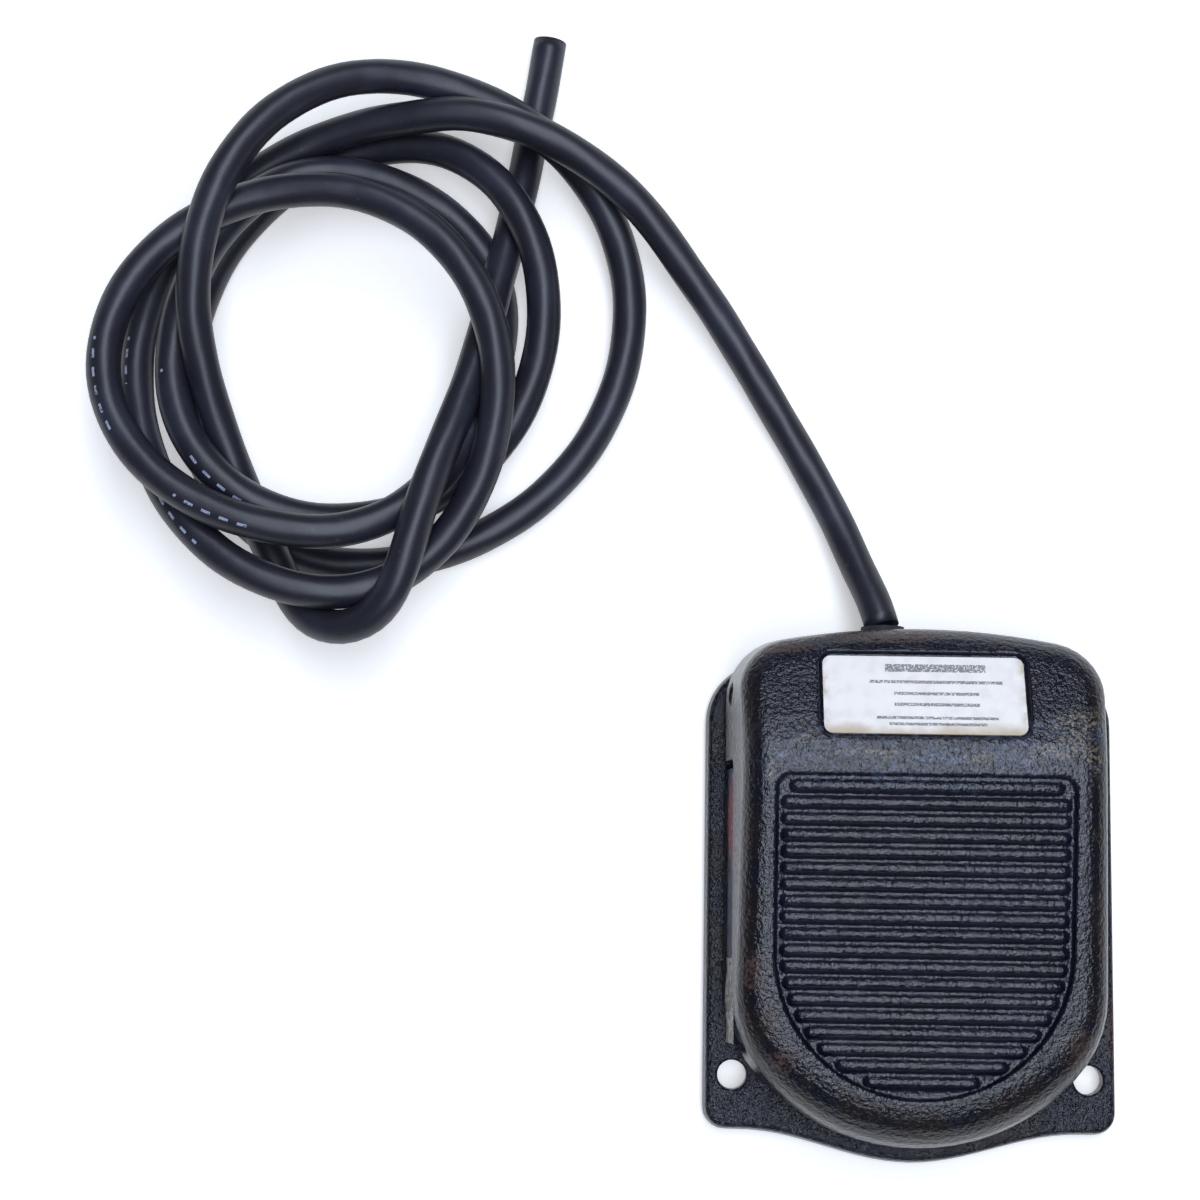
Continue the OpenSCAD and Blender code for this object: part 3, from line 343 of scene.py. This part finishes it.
class Finish:
    """A material, and short words for wiring its nodes."""

    def __init__(self, name):
        self.material = bpy.data.materials.new(name)
        self.material.use_nodes = True
        self.tree = self.material.node_tree
        self.shader = self.tree.nodes["Principled BSDF"]
        self.where = self.add("ShaderNodeTexCoord").outputs["Object"]

    def add(self, kind, inputs=None, **settings):
        node = self.tree.nodes.new(kind)
        for key, value in settings.items():
            setattr(node, key, value)
        for key, value in (inputs or {}).items():
            self.feed(node.inputs[key], value)
        return node

    def feed(self, socket, value):
        if isinstance(value, bpy.types.NodeSocket):
            self.tree.links.new(value, socket)
        else:
            socket.default_value = value

    def set(self, **values):
        for key, value in values.items():
            self.feed(self.shader.inputs[key.replace("_", " ")], value)

    def noise(self, size, detail=2.0, place=None):
        """A soft random cloud, its blobs size mm across."""
        given = {"Vector": place or self.where, "Scale": 1 / (size * MM), "Detail": detail}
        return self.add("ShaderNodeTexNoise", given).outputs["Fac"]

    def fade(self, value, low, high):
        """0 up to low, 1 from high on, soft between; falls instead where low is above high."""
        given = {"Value": value, "From Min": low, "From Max": high}
        node = self.add("ShaderNodeMapRange", given, interpolation_type="SMOOTHSTEP")
        return node.outputs["Result"]

    def math(self, operation, a, b=0.0):
        return self.add("ShaderNodeMath", {0: a, 1: b}, operation=operation).outputs["Value"]

    def both(self, *masks):
        """What lies in all of the masks: their product."""
        total = masks[0]
        for mask in masks[1:]:
            total = self.math("MULTIPLY", total, mask)
        return total

    def xyz(self, vector=None):
        """The X, Y and Z of a vector; of the place on the part, where none is given."""
        return self.add("ShaderNodeSeparateXYZ", {"Vector": vector or self.where}).outputs

    def length(self, vector):
        node = self.add("ShaderNodeVectorMath", {0: vector}, operation="LENGTH")
        return node.outputs["Value"]

    def off(self, value, middle):
        """How far a value is from its middle, either way."""
        return self.math("ABSOLUTE", self.math("SUBTRACT", value, middle))

    def mix(self, share, a, b):
        """Colour a, turning into colour b as share goes from 0 to 1."""
        node = self.add("ShaderNodeMix", data_type="RGBA")
        for socket, value in ((0, share), (6, a), (7, b)):
            self.feed(node.inputs[socket], value)
        return node.outputs[2]

    def spot(self, centre, radii, ragged=0.0, grain=3.0):
        """1 inside an ellipsoid, given in mm, and 0 outside, its edge torn by noise."""
        mapping = self.add("ShaderNodeMapping", {"Vector": self.where})
        mapping.vector_type = "TEXTURE"
        mapping.inputs["Location"].default_value = [v * MM for v in centre]
        mapping.inputs["Scale"].default_value = [v * MM for v in radii]
        reach = self.length(mapping.outputs["Vector"])
        if ragged:
            reach = self.math("ADD", reach, self.both(self.noise(grain, 4), ragged))
            reach = self.math("SUBTRACT", reach, ragged / 2)
        return self.fade(reach, 1.15, 0.75)

    def spots(self, places, ragged=0.0, grain=3.0):
        """Several spots as one mask."""
        total = 0.0
        for centre, radii in places:
            total = self.math("MAXIMUM", self.spot(centre, radii, ragged, grain), total)
        return total

    def bump(self, height, depth, normal=None):
        """Relief, depth mm deep."""
        given = {"Height": height, "Distance": depth * MM, "Strength": 1.0}
        if normal is not None:
            given["Normal"] = normal
        return self.add("ShaderNodeBump", given).outputs["Normal"]

    def on(self, *pieces):
        for piece in pieces:
            piece.data.materials.clear()
            piece.data.materials.append(self.material)


def rgb(red, green, blue):
    """A colour as it looks on a screen, 0 to 255, in the linear numbers that shaders take."""
    def linear(v):
        v = v / 255
        return v / 12.92 if v <= 0.04045 else ((v + 0.055) / 1.055) ** 2.4
    return (linear(red), linear(green), linear(blue), 1)


print("a middle grey, for a shader:", round(rgb(128, 128, 128)[0], 3))

# %% [markdown]
# ## Softening the castings
#
# Iron poured in sand has no sharp edge anywhere: every corner and every rib foot carries a fillet
# of about half a millimetre. A bevel modifier can't round edges where a hundred small faces meet.
# So each casting is wrapped anew in even little squares with a voxel remesh, and a smoothing pass
# then melts its edges as sand does. Modifiers leave the frame's own mesh as it was.

# %% Softening the castings
VOXELS = {"treadle": 0.36, "base": 0.45}
MELTS = {"treadle": 5, "base": 4}


def melt_edges(casting, voxel, rounds):
    """An even skin over a casting, its edges melted by rounds of smoothing."""
    remesh = casting.modifiers.new("even_skin", "REMESH")
    remesh.mode = "VOXEL"
    remesh.voxel_size = voxel * MM
    remesh.use_smooth_shade = True
    smooth = casting.modifiers.new("sand_fillets", "SMOOTH")
    smooth.factor = 0.5
    smooth.iterations = rounds


for name, voxel in VOXELS.items():
    melt_edges(nodes[name], voxel, MELTS[name])
    print(name, "skin in", voxel, "mm squares")

# %% [markdown]
# ## Black enamel, worn by boots
#
# The paint is a thick black gloss that pooled over rough iron, so it shines in a skin of small
# soft dents, an orange peel. Boots have dulled it brown round the rim, scratched it down to
# primer along the crest, and let rust through in a few places. The dents are bump, because they
# are a tenth of a millimetre deep. The wear is a set of ragged ellipses laid where shoes rub, so
# that it stays in place on the casting when the treadle moves. The side walls of the base carry a
# painted reflection: a pale grey that stands in for the white floor seen in their black paint.

# %% Enamel for both castings
PAINT = rgb(8, 11, 25)
PAINT_THIN = rgb(15, 19, 37)
DULLED = rgb(25, 20, 21)
BROWNED = rgb(52, 42, 40)
RUST = rgb(84, 58, 48)
PRIMER = rgb(142, 130, 106)
CHALK = rgb(96, 112, 142)
# painted reflection: a pale grey on the base's black side walls, standing in for the white floor
# seen in them
WALL_PAINTED_REFLECTION = rgb(120, 124, 138)
TOE_CENTRE = 10 * MM


def enamel(name, peel_size, peel_depth, gloss, rust_places, dulled):
    """Gloss black over rough iron. dulled makes the mask of the rubbed part from the finish."""
    f = Finish(name)
    peel = f.noise(peel_size, 2.5)
    fine = f.noise(peel_size * 0.35, 1)
    clouds = f.noise(9, 3)
    f.colour = f.mix(f.fade(f.noise(14, 4), 0.4, 0.7), PAINT, PAINT_THIN)
    rubbed = f.both(dulled(f), f.fade(clouds, 0.3, 0.6))
    f.colour = f.mix(rubbed, f.colour, DULLED)
    rust = f.both(f.spots(rust_places, 1.3, 2.2), f.fade(f.noise(0.8, 5), 0.38, 0.66), 0.8)
    f.colour = f.mix(rust, f.colour, RUST)
    f.set(Base_Color=f.colour, Roughness=f.math("ADD", f.both(rust, 0.35), 0.2),
          Normal=f.bump(fine, peel_depth * 0.25, f.bump(peel, peel_depth)),
          Specular_IOR_Level=gloss)
    return f


def rim_band(f):
    """The treadle's rounded rim: 1 along both flanks and round the toe."""
    place = f.xyz()
    forward = f.math("MINIMUM", f.math("ADD", place["Y"], TOE_CENTRE), 0.0)
    level = f.add("ShaderNodeCombineXYZ", {"X": place["X"], "Y": forward}).outputs["Vector"]
    return f.fade(f.length(level), 33 * MM, 38 * MM)


# each spot is its middle and its three radii, in mm
TREADLE_RUST = [((-9, 57.5, 31), (15, 2.2, 6)), ((12, 58.5, 31), (6, 1.5, 6)),
                ((42, 41, 26), (1.4, 9, 8)), ((-37, -17, 30), (2.2, 4.5, 6)),
                ((-33.5, -27.5, 28), (1.8, 2.6, 5)), ((-30, -36, 26), (4, 4, 5)),
                ((34, -31, 26), (3, 6, 5)), ((-30, 54, 30), (6, 1.8, 5)),
                ((38, -12, 26), (1.6, 6, 7))]
WEAR_ARC = [((-34, 26, 36), (1.0, 3.4, 8)), ((-32, 30, 37), (2, 2, 6)),
            ((-27, 33, 37), (4.5, 1.2, 6)), ((-13, 30, 38), (8, 1.0, 6)),
            ((4, 29, 38), (8, 1.2, 6)), ((17, 29, 38), (9, 1.6, 6)), ((28, 31, 38), (5, 2, 6)),
            ((33, 36, 36), (6.5, 5, 8)), ((36, 30, 36), (2.4, 4, 8))]

f = enamel("treadle_enamel", 1.0, 0.3, 0.45, TREADLE_RUST, rim_band)
scuffed = f.both(f.spots(WEAR_ARC, 0.9, 3), f.fade(f.noise(0.7, 5), 0.44, 0.66), 0.62)
chalky = f.both(f.spot((2, 31, 37), (42, 9, 12), 0.6, 6), f.fade(f.noise(1.6, 4), 0.45, 0.75), 0.35)
tone = f.mix(chalky, f.colour, CHALK)
tone = f.mix(scuffed, tone, f.mix(f.fade(f.noise(6, 1), 0.42, 0.6), PRIMER, CHALK))
brown = f.both(f.fade(f.noise(7, 4), 0.52, 0.72), 0.22)
f.set(Base_Color=f.mix(brown, tone, BROWNED))
f.on(nodes["treadle"])
print("treadle:", len(TREADLE_RUST), "rusty spots,", len(WEAR_ARC), "worn ones")

# %% Painted floor reflection on the base's side walls
BASE_RUST = [((-36, 52, 8), (4, 4, 5)), ((46, -30, 5), (1.5, 9, 4))]

f = enamel("base_enamel", 0.9, 0.5, 0.36, BASE_RUST, lambda f: f.fade(f.noise(20), 0.5, 0.7))
place = f.xyz()
out_at_side = f.fade(f.math("ABSOLUTE", place["X"]), 38 * MM, 38.6 * MM)
above_flange = f.fade(place["Z"], 7 * MM, 9.5 * MM)
under_treadle = f.fade(f.math("ABSOLUTE", place["Y"]), 46 * MM, 38 * MM)
# the painted reflection on the side walls under the treadle's edge, in soft patches
painted_reflection = f.both(out_at_side, above_flange, under_treadle, f.fade(f.noise(5, 3), -0.2, 0.6))
f.set(Base_Color=f.mix(painted_reflection, f.colour, WALL_PAINTED_REFLECTION))
f.on(nodes["base"], nodes["hinge_pins"])
print("base:", len(BASE_RUST), "rusty spots")

# %% [markdown]
# ## The cord's finish
#
# The jacket is a satin rubber, dusty and chafed in patches, and carries one line of printing.
# What such a line says is left off here: its place holds plain dashes in the same pale ink, in
# groups.

# %% Cord jacket
DASH_PITCH = 4.2 * MM
GROUP_PITCH = 43 * MM
INK_AT = 0.07  # share of the way round from the top
INK_WIDE = 0.03
PRINTED = ((0.27, 0.34), (0.56, 0.62), (0.84, 0.9), (1.02, 1.04))  # metres along
JACKET = rgb(31, 31, 41)
JACKET_DUSTY = rgb(42, 43, 56)
CHAFED = rgb(84, 88, 108)
INK = rgb(158, 168, 190)


def repeats(f, along, pitch, share):
    """1 in the first share of every pitch along, 0 in the rest."""
    return f.math("LESS_THAN", f.math("FRACT", f.math("DIVIDE", along, pitch)), share)


f = Finish("cord_jacket")
along_round = f.xyz(f.add("ShaderNodeUVMap", uv_map="along_round").outputs["UV"])
along = along_round["X"]
on_line = f.fade(f.off(along_round["Y"], INK_AT), INK_WIDE / 2, INK_WIDE / 2 * 0.8)
kept = 0.0
for start, end in PRINTED:
    inside = f.both(f.math("GREATER_THAN", along, start), f.math("LESS_THAN", along, end))
    kept = f.math("MAXIMUM", inside, kept)
ink = f.both(repeats(f, along, DASH_PITCH, 0.5), repeats(f, along, GROUP_PITCH, 0.55), on_line,
             kept, f.fade(f.noise(0.5, 3), 0.3, 0.5))
tone = f.mix(f.fade(f.noise(14, 3), 0.45, 0.75), JACKET, JACKET_DUSTY)
tone = f.mix(f.both(f.fade(f.noise(1.1, 5), 0.66, 0.76), 0.35), tone, CHAFED)
f.set(Base_Color=f.mix(ink, tone, INK), Roughness=0.4,
      Normal=f.bump(f.noise(0.5, 3), 0.02, f.bump(f.noise(6, 1), 0.12)))
f.on(cord, stub)
print("dashes on", len(PRINTED), "stretches of the jacket")

# %% [markdown]
# ## The name plate
#
# A printed foil, stuck in the panel above the ribs. What it said is left off, and plain ruled
# lines hold its place, in the grey of the old ink. Foil that has been stepped past for years
# isn't plain white: dirt has crept in from its edges, and the lower corners have gone brown where
# glue came out.

# %% Name plate foil
plate_low, plate_high = (Vector(corner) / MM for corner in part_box("name_plate"))
plate_size = plate_high - plate_low
# a rule's height, width and half thickness, as shares of the plate
RULES = [(0.85, 0.5, 0.05), (0.67, 0.66, 0.02), (0.52, 0.42, 0.02), (0.38, 0.42, 0.02),
         (0.21, 0.6, 0.018), (0.13, 0.48, 0.018)]
RULES_MIDDLE = 0.56
WHITE = rgb(253, 248, 242)
WHITE_AGED = rgb(242, 237, 232)
GLUE = rgb(188, 164, 124)
OLD_INK = rgb(74, 76, 88)

f = Finish("plate_foil")
at = f.add("ShaderNodeMapping", {"Vector": f.where}, vector_type="TEXTURE")
at.inputs["Location"].default_value = [plate_low.x * MM, plate_low.y * MM, 0]
at.inputs["Scale"].default_value = [plate_size.x * MM, plate_size.y * MM, 1]
share = f.xyz(at.outputs["Vector"])
rules = 0.0
for height, wide, thick in RULES:
    near = f.math("LESS_THAN", f.off(share["Y"], height), thick)
    across = f.math("LESS_THAN", f.off(share["X"], RULES_MIDDLE), wide / 2)
    rules = f.math("MAXIMUM", f.both(near, across), rules)
rules = f.both(rules, f.fade(f.noise(0.35, 3), 0.36, 0.5), 0.8)
low_edge = f.fade(f.math("ADD", share["Y"], f.both(f.noise(5, 3), 0.24)), 0.3, 0.1)
side_edge = f.both(f.fade(f.off(share["X"], 0.5), 0.455, 0.5), f.fade(f.noise(3, 3), 0.35, 0.7))
grime = f.both(f.math("MAXIMUM", low_edge, side_edge), 0.75)
tone = f.mix(f.fade(f.noise(4, 4), 0.4, 0.7), WHITE, WHITE_AGED)
tone = f.mix(grime, tone, GLUE)
f.set(Base_Color=f.mix(rules, tone, OLD_INK), Roughness=0.42, Normal=f.bump(f.noise(2.5, 3), 0.03))
f.on(nodes["name_plate"])
print("plate is", [round(v, 1) for v in plate_size], "mm")

# %% [markdown]
# ## Two worn stickers on the left wall
#
# Under the treadle's edge the left wall of the base carries two stickers, one red, one of foil,
# both rubbed nearly bare. Each is a thin sheet that follows the wall, which leans in as it rises.
# A sheet like this is a grid of points pushed onto the wall, with a Solidify modifier for its
# thickness. The red one shows as a lens, because the skirt hides its upper corners.

# %% Stickers
WALL_FOOT = (-42.3, 5.5)  # X and Z of the left wall, in mm
WALL_TOP = (-39.7, 22.5)
STANDS_OFF = 0.12
FILM_THICK = 0.15


def wall_x(z):
    """Where the middle of a sticker is at a height, just off the wall."""
    share = (z - WALL_FOOT[1]) / (WALL_TOP[1] - WALL_FOOT[1])
    return WALL_FOOT[0] + (WALL_TOP[0] - WALL_FOOT[0]) * share - STANDS_OFF


def sticker(name, y_from, y_to, low, high, columns=26, rows=8):
    """A thin sheet on the left wall; low and high give its edges' heights along its length."""
    build = bmesh.new()
    grid = []
    for i in range(columns + 1):
        t = i / columns
        column = []
        for k in range(rows + 1):
            z = low(t) + (high(t) - low(t)) * k / rows
            y = y_from + (y_to - y_from) * t
            column.append(build.verts.new(Vector((wall_x(z), y, z)) * MM))
        grid.append(column)
    for one, two in zip(grid, grid[1:]):
        for k in range(rows):
            build.faces.new((one[k], one[k + 1], two[k + 1], two[k])).smooth = True
    bmesh.ops.recalc_face_normals(build, faces=build.faces)
    mesh = bpy.data.meshes.new(name)
    build.to_mesh(mesh)
    build.free()
    piece = new_object(name, mesh)
    skin = piece.modifiers.new("thickness", "SOLIDIFY")
    skin.thickness = FILM_THICK * MM
    skin.offset = 0
    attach(piece, "base")
    return piece


red_sticker = sticker("red_sticker", 3, 29, lambda t: 18.4 - 10 * sin(pi * t) ** 0.7, lambda t: 19)
foil_sticker = sticker("foil_sticker", -34, -15, lambda t: 8 + 1.2 * sin(9 * t), lambda t: 16.8)
print("stickers stand", STANDS_OFF, "mm off the wall")

# %% Sticker films
RED_FILM = rgb(140, 62, 66)
RED_DULL = rgb(112, 60, 64)
RED_BARE = rgb(150, 128, 132)
FOIL_DIRTY = rgb(150, 138, 122)
FOIL_BRIGHT = rgb(196, 196, 198)
FOIL_GONE = rgb(66, 60, 58)

f = Finish("worn_red_film")
bare = f.fade(f.noise(1.6, 5), 0.56, 0.64)
film = f.mix(f.fade(f.noise(6, 3), 0.4, 0.7), RED_FILM, RED_DULL)
f.set(Base_Color=f.mix(bare, film, RED_BARE), Roughness=0.5, Normal=f.bump(f.noise(1.2, 3), 0.05))
f.on(red_sticker)

f = Finish("worn_foil_film")
film = f.mix(f.fade(f.noise(2.4, 5), 0.44, 0.56), FOIL_DIRTY, FOIL_BRIGHT)
bare = f.fade(f.noise(1.1, 4), 0.55, 0.64)
f.set(Base_Color=f.mix(bare, film, FOIL_GONE), Roughness=0.45, Normal=f.bump(f.noise(1.2, 3), 0.06))
f.on(foil_sticker)
print("films on", red_sticker.name, "and", foil_sticker.name)

# %% [markdown]
# ## Metal and plastic inside
#
# The rest is seen only from underneath, or when the parts are used alone, and still gets its own
# finish. Turned and stamped steel has fine scratches, so its roughness is a stretched noise.
# Springs are oiled and darker. Brass goes brown in patches. Moulded plastics are smooth with a
# faint mottle, and rubber is the roughest of them and carries dust.
#
# The two return springs are wound here anew from round wire, to the height of the frame's
# springs, which are hidden. A pressed spring gets shorter; these keep one height.

# %% Return springs, wound anew
WIRE_D = 1.4
WIRE_SIDES = 10
TURNS = 6
PER_TURN = 28

spring_low, spring_high = (Vector(corner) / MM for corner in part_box("return_springs"))
spring_r = (spring_high.y - spring_low.y - WIRE_D) / 2
spring_y = (spring_high.y + spring_low.y) / 2
spring_x = spring_high.x - WIRE_D / 2 - spring_r
rise = spring_high.z - spring_low.z - WIRE_D


def spring_line(x):
    """One spring's wire: the first and last turn lie flat, those between climb."""
    line = []
    for i in range(TURNS * PER_TURN + 1):
        turn = i / PER_TURN
        climbed = min(1, max(0, (turn - 1) / (TURNS - 2)))
        round_x, round_y = spring_r * cos(2 * pi * turn), spring_r * sin(2 * pi * turn)
        line.append(Vector((x + round_x, spring_y + round_y,
                            spring_low.z + WIRE_D / 2 + rise * climbed)))
    return line


def wire_radius(along, turn):
    return WIRE_D / 2


def joined(name, meshes):
    """One piece from several meshes."""
    build = bmesh.new()
    for mesh in meshes:
        build.from_mesh(mesh)
    mesh = bpy.data.meshes.new(name)
    build.to_mesh(mesh)
    build.free()
    return new_object(name, mesh)


springs = joined("springs", [tube_mesh("wire", spring_line(x), wire_radius, WIRE_SIDES)
                             for x in (-spring_x, spring_x)])
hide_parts("return_springs")
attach(springs, "base")
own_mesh(springs)
print("springs:", TURNS, "turns,", round(spring_high.z - spring_low.z, 1), "mm tall")

# %% Metals


def metal(name, bright, dull, rough, scratch_size=0.5):
    """A finish for worked metal: two tones in patches, and scratches drawn out one way."""
    f = Finish(name)
    drawn = f.add("ShaderNodeMapping", {"Vector": f.where, "Scale": (1, 6, 1)})
    scratches = f.noise(scratch_size, 4, drawn.outputs["Vector"])
    patches = f.fade(f.noise(5, 4), 0.42, 0.68)
    f.set(Base_Color=f.mix(patches, rgb(*bright), rgb(*dull)), Metallic=1.0,
          Roughness=f.math("ADD", f.both(scratches, 0.25), rough), Normal=f.bump(scratches, 0.01))
    return f


def several(*names):
    return [nodes[name] for name in names]


metal("plated_steel", (186, 187, 190), (150, 148, 144), 0.2).on(
    *several("actuator_screw", "actuator_locknut", "switch_screws", "lever_pin", "cord_clamp",
             "clamp_screws"))
metal("oiled_spring_steel", (150, 150, 156), (96, 92, 90), 0.22).on(
    springs, nodes["switch_lever"])
metal("brass", (206, 172, 102), (150, 112, 66), 0.2).on(
    *several("contact_blade", "terminal_common", "terminal_open", "terminal_closed",
             "ground_eyelet"))
metal("green_dipped_steel", (60, 128, 78), (38, 88, 56), 0.28).on(nodes["ground_screw"])
copper_ends = [piece for name, piece in ends.items() if name.startswith("copper_")]
metal("copper_strand", (214, 138, 96), (160, 92, 60), 0.25, 0.2).on(*copper_ends)
print("copper on", len(copper_ends), "strand ends")

# %% Plastics and rubber


def moulded(name, fresh, worn, rough, grain=0.6, depth=0.015):
    """A finish for plastic or rubber: two near tones, and a fine grain."""
    f = Finish(name)
    f.set(Base_Color=f.mix(f.fade(f.noise(6, 4), 0.42, 0.7), rgb(*fresh), rgb(*worn)),
          Roughness=f.math("ADD", f.both(f.noise(3, 3), 0.15), rough),
          Normal=f.bump(f.noise(grain, 3), depth))
    return f


moulded("phenolic_plastic", (34, 33, 34), (48, 46, 45), 0.35).on(
    *several("switch_case", "switch_cover"))
moulded("red_plastic", (168, 30, 30), (140, 28, 28), 0.25).on(nodes["switch_plunger"])
moulded("blue_sleeves", (44, 82, 158), (36, 66, 130), 0.3).on(nodes["push_on_connectors"])
moulded("black_rubber", (34, 33, 36), (58, 56, 58), 0.6, 0.4, 0.04).on(
    *several("toe_bumper", "rubber_feet", "strain_relief"))
CORE_TONES = {"black": ((30, 30, 33), (42, 41, 44)), "white": ((222, 220, 212), (198, 194, 182)),
              "green": ((44, 132, 70), (36, 108, 60))}
for colour, (fresh, worn) in CORE_TONES.items():
    moulded("core_" + colour, fresh, worn, 0.28).on(nodes["lead_" + colour], ends[colour])
print("cores in", ", ".join(CORE_TONES))

# %% [markdown]
# ## The stage
#
# A plain white floor, and one long softbox overhead. Gloss black shows the light more than
# itself: the box is narrow from left to right, so that the rounded flanks turn dark where they
# stop seeing it, and long from front to back, so that both slopes of the treadle stay lit. The
# floor sends light back up at the skirt. For the camera and in reflections the floor glows a
# little, and fully from a metre away on, where the box no longer reaches: it stays white, and the
# shadow under the part still shows. The room's air is dim and bluish, and turns white just above
# the floor for reflections alone.

# %% The floor
REACH = 3.0
PAPER = (0.9, 0.88, 0.86, 1)
GLOW = 0.4
LIT_WITHIN = (900, 900, 900)  # mm, all round the middle of the floor

floor_mesh = bpy.data.meshes.new("floor")
floor_mesh.from_pydata([(-REACH, -REACH, 0), (REACH, -REACH, 0), (REACH, REACH, 0),
                        (-REACH, REACH, 0)], [], [(0, 1, 2, 3)])
floor = new_object("floor", floor_mesh)
f = Finish("paper_floor")
rays = f.add("ShaderNodeLightPath").outputs
mirrored = f.math("MAXIMUM", rays["Is Glossy Ray"], rays["Is Transmission Ray"])
glow = f.math("SUBTRACT", 1.0, f.both(f.spot((0, 0, 0), LIT_WITHIN), 1 - GLOW))
seen = f.both(f.math("MAXIMUM", rays["Is Camera Ray"], mirrored), glow)
f.set(Base_Color=PAPER, Roughness=0.9, Emission_Color=(1, 1, 1, 1), Emission_Strength=seen)
f.on(floor)
print("floor", 2 * REACH, "m square")

# %% The softbox
BOX_COLOUR = (0.8, 0.87, 1)


def softbox(name, place, aim, wide, long, power):
    data = bpy.data.lights.new(name, "AREA")
    data.shape = "RECTANGLE"
    data.size, data.size_y = wide, long
    data.energy = power
    data.color = BOX_COLOUR
    light = new_object(name, data)
    light.location = place
    light.rotation_euler = (Vector(aim) - Vector(place)).to_track_quat("-Z", "Y").to_euler()


BOX_POWER = 22
softbox("overhead", (0.1, 0.2, 1.3), (0.1, 0.2, 0), wide=0.54, long=2.0, power=BOX_POWER)
print("softbox of", BOX_POWER, "W")

# %% The room
AIR = (0.7, 0.8, 1, 1)
DIM = 0.12

world = bpy.data.worlds.new("room")
bpy.context.scene.world = world
world.use_nodes = True
dim_air = world.node_tree.nodes["Background"]
dim_air.inputs["Color"].default_value = AIR
dim_air.inputs["Strength"].default_value = DIM


def room_node(kind, inputs, **settings):
    """The outputs of a new node in the room's own tree."""
    node = world.node_tree.nodes.new(kind)
    for key, value in settings.items():
        setattr(node, key, value)
    for key, value in inputs.items():
        if isinstance(value, bpy.types.NodeSocket):
            world.node_tree.links.new(value, node.inputs[key])
        else:
            node.inputs[key].default_value = value
    return node.outputs


def room_math(operation, a, b):
    return room_node("ShaderNodeMath", {0: a, 1: b}, operation=operation)["Value"]


direction = room_node("ShaderNodeTexCoord", {})["Generated"]
height = room_node("ShaderNodeSeparateXYZ", {"Vector": direction})["Z"]
low_down = room_node("ShaderNodeMapRange",
                     {"Value": height, "From Min": 0.2, "From Max": 0.02})["Result"]
rays = room_node("ShaderNodeLightPath", {})
mirrored = room_math("MAXIMUM", rays["Is Glossy Ray"], rays["Is Transmission Ray"])
white = room_math("MAXIMUM", room_math("MULTIPLY", mirrored, low_down), rays["Is Camera Ray"])
white_air = room_node("ShaderNodeBackground", {"Color": (1, 1, 1, 1), "Strength": 1.0})
air = room_node("ShaderNodeMixShader",
                {0: white, 1: dim_air.outputs["Background"], 2: white_air["Background"]})
surface = world.node_tree.nodes["World Output"].inputs["Surface"]
world.node_tree.links.new(air["Shader"], surface)
bpy.context.scene.view_settings.view_transform = "Standard"
print("the room's air is at", DIM)
